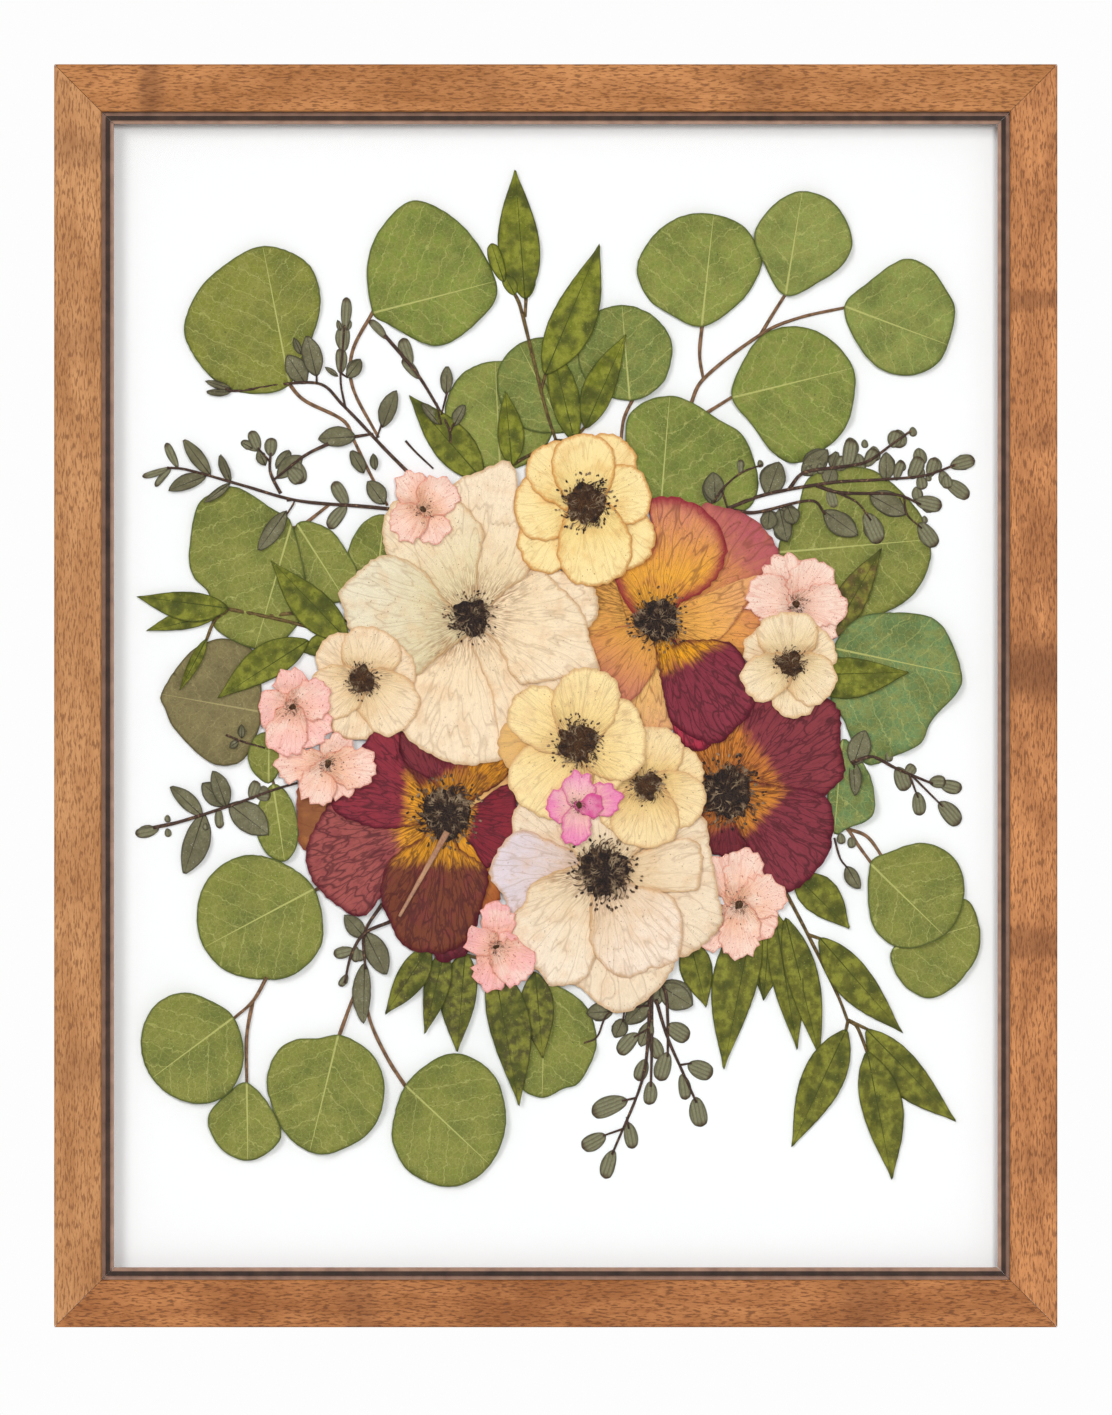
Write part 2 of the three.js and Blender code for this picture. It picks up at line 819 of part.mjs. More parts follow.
    buds: [
      [614, 1151, 605, 1180, 15],
      [606, 1136, 582, 1149, 17],
      [628, 1123, 633, 1150, 14],
      [628, 1101, 592, 1115, 20],
      [651, 1082, 649, 1106, 14],
      [646, 1060, 638, 1082, 14],
      [668, 1053, 660, 1082, 17],
      [682, 1075, 686, 1101, 13],
      [696, 1098, 702, 1128, 18],
      [688, 1065, 713, 1076, 19],
      [667, 1026, 689, 1040, 19],
      [638, 1034, 619, 1055, 16],
      [652, 1038, 660, 1060, 14],
    ],
  },
  {
    name: "seeded_sprig_right_lower",
    stems: [[[852, 763], [873, 757], [898, 769], [934, 784]]],
    twigs: [
      [[910, 774], [919, 798]],
      [[912, 775], [944, 807]],
      [[855, 762], [855, 768]],
    ],
    blades: [
      [854, 766, 866, 730, 24],
      [854, 760, 856, 797, 13],
    ],
    buds: [
      [898, 767, 907, 791, 17],
      [907, 775, 915, 765, 12],
      [918, 792, 921, 816, 14],
      [930, 782, 947, 782, 13],
      [940, 783, 963, 789, 14],
      [940, 802, 960, 825, 18],
    ],
  },
].map((plant) => ({ finish: seededGrey, ...plant }));

const flowers = [
  {
    name: "anemone_burgundy_right",
    finish: burgundyPetal,
    boss: [727, 793, 27],
    petals: [
      [[[727, 793], [748, 846], [762, 870], [731, 860], [707, 850], [698, 820]]],
      [[
        [720, 800], [690, 762], [700, 735], [740, 705], [790, 690], [828, 698], [841, 714],
        [841, 744], [846, 769], [838, 784], [818, 800], [790, 790],
      ]],
      [[
        [727, 793], [790, 787], [828, 798], [833, 842], [817, 872], [791, 892], [765, 881],
        [748, 846],
      ]],
    ],
  },
  {
    name: "anemone_orange",
    finish: orangePetal,
    boss: [658, 620, 22],
    petals: [
      [
        [
          [658, 620], [700, 508], [721, 506], [749, 516], [765, 530], [779, 553], [765, 624],
          [747, 657], [700, 650],
        ],
        [[658, 620], [640, 680], [629, 703], [646, 734], [676, 729], [700, 748], [690, 690]],
      ],
      [
        [
          [590, 581], [616, 581], [636, 600], [664, 625], [661, 653], [651, 677], [629, 703],
          [612, 700], [598, 673], [585, 640],
        ],
        [[658, 620], [680, 604], [759, 575], [743, 608], [721, 638], [700, 646], [678, 640]],
      ],
      [
        [
          [658, 620], [615, 581], [637, 561], [653, 534], [649, 501], [668, 496], [688, 500],
          [710, 514], [726, 538], [723, 567], [704, 591], [680, 604],
        ],
        [
          [658, 620], [665, 644], [692, 640], [729, 642], [745, 661], [755, 704], [735, 730],
          [720, 743], [702, 741], [679, 729], [667, 711],
        ],
      ],
    ],
  },
  {
    name: "anemone_burgundy_left",
    finish: burgundyPetal,
    boss: [446, 814, 26],
    petals: [
      [
        [[446, 814], [360, 780], [310, 788], [297, 790], [298, 829], [304, 851], [360, 850]],
        [[446, 830], [433, 954], [461, 958], [469, 949], [478, 900]],
        [[446, 814], [470, 801], [511, 770], [511, 790], [470, 830]],
      ],
      [
        [
          [446, 814], [400, 800], [334, 801], [317, 823], [306, 847], [308, 871], [319, 890],
          [343, 910], [363, 917], [384, 893], [398, 867], [426, 842],
        ],
        [
          [446, 814], [437, 788], [402, 760], [400, 731], [443, 760], [496, 756], [511, 764],
          [502, 781], [467, 805],
        ],
        [[446, 814], [469, 808], [498, 788], [513, 786], [517, 831], [489, 869], [470, 843]],
      ],
      [
        [
          [446, 814], [422, 825], [384, 829], [354, 822], [331, 806], [345, 765], [367, 740],
          [372, 729], [398, 729], [400, 755], [426, 794],
        ],
        [
          [446, 814], [457, 845], [487, 871], [483, 903], [467, 940], [441, 954], [404, 947],
          [391, 925], [380, 895], [390, 859], [421, 837],
        ],
      ],
    ],
  },
  {
    name: "anemone_cream_large",
    finish: creamPetal,
    boss: [471, 617, 19],
    petals: [
      [
        [[471, 617], [530, 568], [587, 581], [597, 596], [597, 617], [587, 627], [540, 640]],
        [
          [471, 617], [410, 660], [400, 727], [444, 761], [481, 764], [511, 754], [509, 714],
          [519, 697], [505, 646],
        ],
      ],
      [
        [
          [471, 617], [532, 568], [559, 585], [582, 610], [591, 642], [599, 674], [568, 678],
          [519, 682], [494, 640],
        ],
        [
          [471, 617], [465, 540], [452, 486], [477, 472], [507, 460], [517, 478], [515, 510],
          [532, 566], [500, 596],
        ],
      ],
      [[
        [471, 617], [400, 570], [385, 551], [383, 520], [400, 498], [456, 500], [475, 518],
        [484, 530], [481, 549], [477, 575],
      ]],
      [[
        [471, 617], [452, 606], [420, 568], [383, 555], [351, 577], [338, 594], [343, 608],
        [349, 629], [380, 668], [410, 678], [432, 662],
      ]],
    ],
  },
  {
    name: "anemone_yellow",
    finish: yellowPetal,
    boss: [586, 503, 21],
    petals: [
      [
        [586, 503, 528, 566, 62],
        [586, 503, 647, 560, 60],
        [586, 503, 620, 436, 60],
      ],
      [
        [586, 503, 514, 510, 70],
        [586, 503, 651, 492, 62],
        [586, 503, 535, 450, 60],
      ],
      [
        [586, 503, 582, 433, 64],
        [586, 503, 598, 586, 75],
      ],
    ],
  },
  {
    name: "anemone_cream_left",
    finish: creamPetal,
    boss: [362, 680, 14],
    petals: [
      [
        [362, 680, 322, 642, 50],
        [362, 680, 414, 662, 50],
        [362, 680, 348, 740, 50],
      ],
      [
        [362, 680, 375, 627, 60],
        [362, 680, 408, 726, 62],
        [362, 680, 312, 703, 54],
      ],
    ],
  },
  {
    name: "blossom_peach_lower",
    finish: pinkPetal,
    boss: [739, 906, 8],
    petals: [
      [
        [739, 906, 703, 948, 38],
        [739, 906, 716, 856, 34],
        [739, 906, 772, 938, 42],
      ],
      [
        [739, 906, 746, 849, 40],
        [739, 906, 784, 890, 42],
        [739, 906, 738, 959, 42],
      ],
    ],
  },
  {
    name: "anemone_cream_lower",
    finish: creamPetal,
    boss: [604, 872, 26],
    petals: [
      [
        [
          [604, 872], [660, 830], [702, 816], [711, 851], [719, 896], [721, 927], [678, 959],
          [640, 930],
        ],
        [[604, 872], [560, 800], [517, 806], [517, 845], [560, 870]],
        [[604, 872], [560, 960], [549, 986], [573, 986], [623, 1014], [676, 963], [640, 920]],
      ],
      [
        [
          [604, 872], [560, 845], [517, 831], [489, 871], [504, 898], [511, 921], [530, 925],
          [560, 900],
        ],
        [
          [604, 872], [631, 855], [684, 838], [702, 849], [700, 880], [694, 892], [640, 890],
        ],
        [[604, 872], [572, 850], [566, 815], [600, 798], [640, 812], [642, 845]],
      ],
      [[
        [604, 872], [537, 880], [523, 904], [511, 921], [511, 949], [541, 974], [549, 986],
        [582, 982], [596, 959], [612, 915],
      ]],
      [[
        [604, 872], [590, 925], [596, 957], [623, 978], [650, 970], [678, 961], [683, 935],
        [681, 912], [670, 896], [631, 882],
      ]],
    ],
  },
  {
    name: "anemone_cream_small",
    finish: creamPetal,
    boss: [647, 786, 14],
    petals: [
      [
        [647, 786, 612, 772, 40],
        [647, 786, 702, 762, 50],
        [647, 786, 605, 826, 50],
      ],
      [
        [647, 786, 664, 727, 56],
        [647, 786, 703, 812, 56],
        [647, 786, 648, 848, 70],
      ],
    ],
  },
  {
    name: "anemone_cream_middle",
    finish: creamPetal,
    boss: [578, 743, 20],
    petals: [
      [
        [578, 743, 497, 745, 60],
        [578, 743, 616, 790, 62],
      ],
      [
        [578, 743, 522, 806, 82],
        [578, 743, 512, 700, 62],
        [578, 743, 646, 734, 84],
      ],
      [[578, 743, 598, 669, 66]],
    ],
  },
  {
    name: "blossom_bright_pink",
    finish: brightPink,
    boss: [578, 806, 6],
    petals: [
      [
        [578, 806, 622, 796, 32],
        [578, 806, 546, 806, 36],
        [578, 806, 573, 845, 30],
      ],
      [
        [578, 806, 578, 771, 30],
        [578, 806, 604, 806, 22],
      ],
    ],
  },
  {
    name: "blossom_pink_lower",
    finish: pinkPetal,
    boss: [496, 948, 6],
    petals: [
      [
        [496, 948, 497, 902, 34],
        [496, 948, 488, 990, 38],
        [496, 948, 518, 938, 20],
      ],
      [
        [496, 948, 466, 938, 32],
        [496, 948, 528, 978, 42],
      ],
    ],
  },
  {
    name: "blossom_pale_right",
    finish: pinkPetal,
    boss: [797, 604, 8],
    petals: [
      [
        [797, 604, 832, 640, 40],
        [797, 604, 764, 626, 38],
        [797, 604, 776, 556, 44],
      ],
      [
        [797, 604, 748, 592, 46],
        [797, 604, 828, 564, 44],
        [797, 604, 847, 604, 44],
      ],
    ],
  },
  {
    name: "anemone_cream_right",
    finish: creamPetal,
    boss: [790, 663, 13],
    petals: [
      [
        [790, 663, 746, 640, 44],
        [790, 663, 834, 642, 50],
        [790, 663, 799, 718, 46],
      ],
      [
        [790, 663, 784, 612, 62],
        [790, 663, 830, 696, 52],
        [790, 663, 746, 692, 46],
      ],
    ],
  },
  {
    name: "blossom_peach_left",
    finish: pinkPetal,
    boss: [327, 764, 7],
    petals: [
      [
        [327, 764, 274, 764, 36],
        [327, 764, 346, 737, 34],
        [327, 764, 348, 796, 36],
      ],
      [
        [327, 764, 310, 803, 40],
        [327, 764, 376, 768, 42],
      ],
    ],
  },
  {
    name: "blossom_pink_left",
    finish: pinkPetal,
    boss: [292, 707, 7],
    petals: [
      [
        [292, 707, 292, 669, 36],
        [292, 707, 259, 714, 42],
        [292, 707, 322, 743, 44],
      ],
      [
        [292, 707, 329, 692, 42],
        [292, 707, 284, 756, 42],
      ],
    ],
  },
  {
    name: "blossom_peach_top",
    finish: pinkPetal,
    boss: [423, 509, 6],
    petals: [
      [
        [423, 509, 404, 472, 34],
        [423, 509, 441, 541, 34],
      ],
      [
        [423, 509, 394, 534, 40],
        [423, 509, 452, 484, 42],
      ],
    ],
  },
];

const frame = new THREE.Group();
frame.add(
  mitredStrip("rail_bottom", railSection, 0, wood),
  mitredStrip("stile_left", railSection, 1, wood),
  mitredStrip("rail_top", railSection, 2, wood),
  mitredStrip("stile_right", railSection, 3, wood),
  mitredStrip("fillet_bottom", filletSection, 0, darkWood),
  mitredStrip("fillet_left", filletSection, 1, darkWood),
  mitredStrip("fillet_top", filletSection, 2, darkWood),
  mitredStrip("fillet_right", filletSection, 3, darkWood),
  sheet("glass_pane", glassFront, glassThickness, clearGlass),
  sheet("mount_board", boardFace, boardThickness, whiteCard),
  sheet("back_panel", panelFace, panelThickness, hardboard),
  hanger(),
);
for (const plant of [...eucalyptus, ...ruscus, ...seeded, ...flowers]) frame.add(plantMesh(plant));

// The nail bears in the hanger's middle notch
frame.position.set(0, -(restGap + hangerRise), hangerHeight / 2 - toothDepth - hangerCentre);
const part = new THREE.Group();
part.add(frame);

export default part;
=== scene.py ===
import math
from functools import partial
from types import SimpleNamespace
import bmesh
import bpy
import numpy as np
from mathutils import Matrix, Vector


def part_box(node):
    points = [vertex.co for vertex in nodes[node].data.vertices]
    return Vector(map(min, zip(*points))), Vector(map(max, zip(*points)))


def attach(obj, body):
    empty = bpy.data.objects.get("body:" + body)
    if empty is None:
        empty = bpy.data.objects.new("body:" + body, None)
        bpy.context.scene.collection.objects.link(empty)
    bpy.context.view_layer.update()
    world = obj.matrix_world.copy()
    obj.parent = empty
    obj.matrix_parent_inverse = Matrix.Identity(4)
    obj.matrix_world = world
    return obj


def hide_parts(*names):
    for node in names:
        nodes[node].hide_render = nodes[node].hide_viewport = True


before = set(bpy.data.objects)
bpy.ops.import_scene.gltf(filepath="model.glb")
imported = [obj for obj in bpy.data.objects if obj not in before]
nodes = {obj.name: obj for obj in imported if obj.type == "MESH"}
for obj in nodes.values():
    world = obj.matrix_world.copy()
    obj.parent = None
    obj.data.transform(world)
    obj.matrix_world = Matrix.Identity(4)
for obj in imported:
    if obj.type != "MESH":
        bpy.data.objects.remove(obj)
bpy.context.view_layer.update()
print("frame loaded")

# Where the photo's pixels lie on the board: mm to a pixel, and the pixel at the middle of the frame
mm = 0.001
pixel = 0.3056
photoMiddle = (555.75, 695.75)
boardLow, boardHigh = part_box("mount_board")
middle = ((boardLow[0] + boardHigh[0]) / 2, (boardLow[2] + boardHigh[2]) / 2)
glassFace = -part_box("glass_pane")[1][1] / mm
boardFace = -boardLow[1] / mm


# Materials
def linear(code):
    parts = [int(code[i : i + 2], 16) / 255 for i in (1, 3, 5)]
    return [c / 12.92 if c <= 0.04045 else ((c + 0.055) / 1.055) ** 2.4 for c in parts] + [1]


# Links each input that is given a socket, and sets the others; a hex colour is made linear
def connect(node, inputs):
    for key, value in inputs.items():
        if isinstance(value, bpy.types.NodeSocket):
            node.id_data.links.new(value, node.inputs[key])
        else:
            node.inputs[key].default_value = linear(value) if str(value).startswith("#") else value


# Adds a node with its settings, its inputs by name or in order (None leaves one) and a ramp's stops,
# and gives the output that is named, or its first live one
def add(tree, kind, inputs=(), out=None, stops=(), **settings):
    made = tree.nodes.new(kind if "Node" in kind else "ShaderNode" + kind)
    for key, value in settings.items():
        setattr(made, key, value)
    for place, _ in stops[2:]:
        made.color_ramp.elements.new(place)
    for stop, (place, code) in enumerate(stops):
        made.color_ramp.elements[stop].position = place
        made.color_ramp.elements[stop].color = linear(code)
    named = inputs if isinstance(inputs, dict) else {i: v for i, v in enumerate(inputs) if v is not None}
    connect(made, named)
    if out is not None:
        return made.outputs[out]
    return next((socket for socket in made.outputs if socket.enabled), made)


# An empty material, the function that adds nodes to it, and its shader
def material(name, **constants):
    made = bpy.data.materials.new(name)
    made.use_nodes = True
    shader = made.node_tree.nodes["Principled BSDF"]
    connect(shader, {key.replace("_", " "): value for key, value in constants.items()})
    return made, partial(add, made.node_tree), shader


# Settings that come back: an eased step, and what a Math node works out
smooth = {"interpolation_type": "SMOOTHSTEP"}
times, plus, less = ({"operation": name} for name in ("MULTIPLY", "ADD", "SUBTRACT"))
timesPlus = {"operation": "MULTIPLY_ADD"}
absolute = {"operation": "ABSOLUTE"}


# Lays colours over a base, each by its own share, and presses a relief into the surface, with
# its strength and its depth in m
def coat(node, shader, base, layers, relief, strength, depth):
    for share, colour, *blend in layers:
        blended = blend[0] if blend else "MIX"
        base = node("Mix", {0: share, 6: base, 7: colour}, data_type="RGBA", blend_type=blended)
    normal = node("Bump", {"Height": relief, "Strength": strength, "Distance": depth})
    connect(shader, {"Base Color": base, "Normal": normal})


# Oak-like stained wood: planed, stained and waxed, so short dark pores show along the grain.
# A band is figure across the grain: mm along the rail, half its width in mm, and its strength
woodLooks = {
    "rail_top": {"light": "#CB8A52", "dark": "#A0642F", "dash": "#6B3D1C", "along": 0, "seed": 3,
                 "bands": ((-124, 6, 0.5), (-20, 5, 0.15), (62, 7, 0.2))},
    "rail_bottom": {"light": "#C2804A", "dark": "#925626", "dash": "#5E3216", "along": 0, "seed": 9,
                    "bands": ((-60, 6, 0.25), (95, 8, 0.25))},
    "stile_right": {"light": "#CF9662", "dark": "#A87040", "dash": "#774826", "along": 2, "seed": 5,
                    "bands": ((-19, 8, 0.3), (-76, 10, 0.2), (-300, 8, 0.2))},
    "stile_left": {"light": "#D59058", "dark": "#A06436", "dash": "#683A1C", "along": 2, "seed": 7,
                   "bands": ((-65, 4, 0.4), (-108, 5, 0.25), (-178, 11, 0.6), (-262, 5, 0.4),
                             (-330, 8, 0.2))},
}
woodGrain = {"stretch": 0.19, "apart": 0.31, "sway": 0.012}


def wood(name, look):
    made, node, shader = material(name, Roughness=0.5, Specular_IOR_Level=0.18)
    place = node("TexCoord", out="Object")
    stretch = [1.0, 1.0, 1.0]
    stretch[look["along"]] = woodGrain["stretch"]
    start = [look["seed"] * woodGrain["apart"]] * 3
    grain = node("Mapping", {"Vector": place, "Scale": stretch, "Location": start})
    # Figure 6 mm wide, its fine lines 1.4 mm, pores and pale flecks 0.5 mm, stain in clouds of 40 mm
    figure, fine, pores, flecks, clouds = (
        node("TexNoise", [at, None, scale, detail, roughness]) for at, scale, detail, roughness in (
            (grain, 170, 4, 0.6), (grain, 700, 3, 0.6), (grain, 1900, 3, 0.55), (grain, 2100, 2, 0.5),
            (place, 26, 2, 0.55),
        )
    )
    tone = node("Math", [clouds, 0.38, node("Math", [figure, 0.62], **times)], **timesPlus)
    base = node("ValToRGB", [node("MapRange", [tone, 0.3, 0.7], **smooth)],
                stops=[(0, look["dark"]), (1, look["light"])])
    dashes = node("MapRange", [pores, 0.49, 0.63, 0, 0.72], **smooth)
    layers = [
        (node("MapRange", [fine, 0.46, 0.7, 0, 0.5], **smooth), look["dark"]),
        (node("MapRange", [flecks, 0.54, 0.7, 0, 0.3], **smooth), look["light"]),
        (dashes, look["dash"]),
    ]
    position = node("SeparateXYZ", [place], out=look["along"])
    sway = woodGrain["sway"]
    for spot, half, strength in look["bands"]:
        away = node("Math", [node("Math", [position, spot * mm], **less)], **absolute)
        away = node("Math", [clouds, sway, away], **timesPlus)
        near, far = half * 0.2 * mm + sway / 2, half * mm + sway / 2
        layers.append((node("MapRange", [away, near, far, strength, 0], **smooth), look["dash"]))
    coat(node, shader, base, layers, node("Math", [figure, dashes], **less), strength=0.35, depth=0.0002)
    return made


# Fillet: a dark stained moulding, rubbed lighter on its bead
def filletWood():
    made, node, shader = material("fillet_wood", Roughness=0.55, Specular_IOR_Level=0.15)
    place = node("TexCoord", out="Object")
    worn = node("TexNoise", [place, None, 220, 4, 0.55])
    depth = node("SeparateXYZ", [place], out=1)
    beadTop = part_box("fillet_left")[0][1]
    deep = node("MapRange", [depth, beadTop + 0.6 * mm, beadTop + 0.9 * mm, 1, 0], **smooth)
    bead = node("ValToRGB", [worn], stops=[(0.3, "#8E6E5E"), (0.7, "#B08C78")])
    hollow = node("ValToRGB", [worn], stops=[(0.3, "#2A1E19"), (0.7, "#453229")])
    coat(node, shader, bead, [(deep, hollow)], worn, strength=0.2, depth=0.0002)
    return made


# White board: smooth coated paper with a faint tooth of 0.4 mm
def whiteBoard():
    made, node, shader = material("white_board", Roughness=0.75)
    tooth = node("TexNoise", [node("TexCoord", out="Object"), None, 2600, 4, 0.7])
    base = node("ValToRGB", [tooth], stops=[(0.3, "#F9F9FB"), (0.7, "#FDFDFE")])
    coat(node, shader, base, [], tooth, strength=0.02, depth=0.00002)
    return made


# Hardboard back: pressed fibres about 1 mm wide, brown with lighter and darker strands
def hardboard():
    made, node, shader = material("hardboard", Roughness=0.7)
    place = node("TexCoord", out="Object")
    fibres = node("TexNoise", [node("Mapping", {"Vector": place, "Scale": (1, 1, 0.35)}), None, 900, 5, 0.75])
    patches = node("TexNoise", [place, None, 40, 3, 0.55])
    base = node("ValToRGB", [fibres], stops=[(0.3, "#5F4028"), (0.55, "#86603F"), (0.75, "#A98259")])
    layers = [(node("MapRange", [patches, 0.45, 0.7, 0, 0.3], **smooth), "#5A3D28")]
    coat(node, shader, base, layers, fibres, strength=0.5, depth=0.0003)
    return made


# Zinc-plated steel: bright, with faint cloudy brushing 2 mm across
def platedSteel():
    made, node, shader = material("plated_steel", Metallic=1.0)
    clouds = node("TexNoise", [node("TexCoord", out="Object"), None, 500, 4, 0.55])
    base = node("ValToRGB", [clouds], stops=[(0.3, "#A9A49A"), (0.7, "#D2CEC4")])
    coat(node, shader, base, [], clouds, strength=0.1, depth=0.0001)
    connect(shader, {"Roughness": node("Math", [clouds, 0.2, 0.25], **timesPlus)})
    return made


# Float glass: clear, with the faint green of its iron
def clearGlass():
    made, node, shader = material("clear_glass", Roughness=0.0, IOR=1.5, Transmission_Weight=1.0)
    faint = node("TexNoise", [node("TexCoord", out="Object"), None, 8, 1, 0.55])
    connect(shader, {"Base Color": node("ValToRGB", [faint], stops=[(0.0, "#FBFEFC"), (1.0, "#FFFFFF")])})
    return made


# Gives every slot of a CAD node its finish
def dress(name, look):
    shown = nodes[name]
    if not shown.data.materials:
        shown.data.materials.append(look)
    for i in range(len(shown.data.materials)):
        shown.data.materials[i] = look


for railName, railLook in woodLooks.items():
    dress(railName, wood(railName + "_wood", railLook))
filletLook = filletWood()
for side in ("top", "bottom", "left", "right"):
    dress("fillet_" + side, filletLook)
dress("mount_board", whiteBoard())
dress("back_panel", hardboard())
dress("hanger", platedSteel())
dress("glass_pane", clearGlass())
nodes["glass_pane"].visible_shadow = False
nodes["glass_pane"].visible_diffuse = False
print("frame dressed")


# Shapes. Plans are in mm from the middle of the frame, heights in mm in front of y = 0
def plan(points):
    return np.array([((x - photoMiddle[0]) * pixel, (photoMiddle[1] - y) * pixel) for x, y in points])


# A smooth line through hand-read points, evenly spaced
def spline(points, closed, spacing):
    knots = np.asarray(points, float)
    count = len(knots)
    if closed:
        knots = np.vstack([knots[-1:], knots, knots[:2]])
    else:
        knots = np.vstack([2 * knots[0] - knots[1], knots, 2 * knots[-1] - knots[-2]])
    gaps = np.linalg.norm(np.diff(knots, axis=0), axis=1) ** 0.5 + 1e-6
    reached = np.concatenate([[0], np.cumsum(gaps)])
    part = np.linspace(0, 1, 13)[:-1, None]
    line = []
    for i in range(1, count + 1 if closed else count):
        span = reached[i + 1] - reached[i]
        before = (knots[i + 1] - knots[i - 1]) / (reached[i + 1] - reached[i - 1]) * span
        after = (knots[i + 2] - knots[i]) / (reached[i + 2] - reached[i]) * span
        line.append(
            (2 * part**3 - 3 * part**2 + 1) * knots[i] + (part**3 - 2 * part**2 + part) * before
            + (-2 * part**3 + 3 * part**2) * knots[i + 1] + (part**3 - part**2) * after
        )
    line = np.vstack(line + [knots[1:2] if closed else knots[count : count + 1]])
    gone = np.concatenate([[0], np.cumsum(np.linalg.norm(np.diff(line, axis=0), axis=1))])
    steps = max(int(gone[-1] / spacing), 10 if closed else 2)
    at = np.linspace(0, gone[-1], steps + 1)
    if closed:
        at = at[:-1]
    return np.column_stack([np.interp(at, gone, line[:, k]) for k in (0, 1)])


# The outline of a blade from base to tip: blunt is 1 for a point, less for a round tip
def bladeOutline(x0, y0, x1, y1, width, fullest, blunt, bend=0.0):
    base, tip = plan([(x0, y0), (x1, y1)])
    axis = tip - base
    length = np.linalg.norm(axis)
    side = np.array([-axis[1], axis[0]]) / length
    share = np.linspace(0, 1, 15)
    rise = blunt * fullest / (1 - fullest)
    half = share**rise * (1 - share) ** blunt
    half *= width * pixel / 2 / (fullest**rise * (1 - fullest) ** blunt)
    mid = base + share[:, None] * axis + (bend * length * np.sin(math.pi * share))[:, None] * side
    return np.vstack([mid + half[:, None] * side, (mid - half[:, None] * side)[-2:0:-1]])


# Smooth unevenness between -1 and 1, in four waves of about the length given
def waves(at, seed, length):
    rng = np.random.default_rng(seed)
    total = np.zeros(len(at))
    for _ in range(4):
        angle, phase = rng.uniform(0, 2 * math.pi, 2)
        k = 2 * math.pi / (length * rng.uniform(0.6, 1.6))
        total += np.sin((at[:, 0] * math.cos(angle) + at[:, 1] * math.sin(angle)) * k + phase)
    return total / 4


# The room in front of each plant: how high its own front may rise under what is already in place.
# It is kept in cells of the board, all in mm
grid = {"pitch": 0.8, "wide": 300, "high": 380, "margin": 0.04, "underGlass": 0.15}
gridShape = (int(grid["wide"] / grid["pitch"]), int(grid["high"] / grid["pitch"]))
ceiling = np.full(gridShape, glassFace - grid["underGlass"])


def cellsOf(at):
    cells = np.round(at / grid["pitch"]).astype(int) + np.array(gridShape) // 2
    return np.clip(cells, 0, np.array(gridShape) - 1)


# The ceiling over each place, kept low round every edge and smoothed
def roomAbove(at):
    cells = cellsOf(at)
    low, high = np.maximum(cells.min(0) - 6, 0), cells.max(0) + 7
    part = ceiling[low[0] : high[0], low[1] : high[1]]
    for reach, blend in ((2, np.minimum), (1, np.add)):
        for axis in (0, 1):
            total = part.copy()
            for shift in range(1, reach + 1):
                total = blend(blend(total, np.roll(part, shift, axis)), np.roll(part, -shift, axis))
            part = total if blend is np.minimum else total / (2 * reach + 1)
    return part[cells[:, 0] - low[0], cells[:, 1] - low[1]]


def fillUnder(at, underside):
    cells = cellsOf(at)
    np.minimum.at(ceiling, (cells[:, 0], cells[:, 1]), underside)


def newPlant(name):
    lists = ("points", "faces", "growth", "edge", "inner", "outer", "looks")
    return {"name": name, "count": 0, **{key: [] for key in lists}}


# Adds one closed piece of surface to its plant, with what its material reads
def keep(plant, points, faces, growth, edge, inner, outer, look):
    plant["faces"] += [tuple(i + plant["count"] for i in face) for face in faces]
    plant["looks"] += [look] * len(faces)
    for key, values in (("points", points), ("growth", growth), ("edge", edge)):
        plant[key].append(values)
    for key, tone in (("inner", inner), ("outer", outer)):
        plant[key].append(np.tile(linear(tone), (len(points), 1)))
    plant["count"] += len(points)


# How pressed tissue moves, in mm: the lengths of its waves, how far it stays off the board, and a
# step by seed, so that two sheets pressed on the board never share a face
pressing = {
    "frillWave": 3.2, "cupWave": 18, "wave": 9, "lumps": (1.9, 1.0), "offBoard": 0.03, "stagger": 0.012,
}


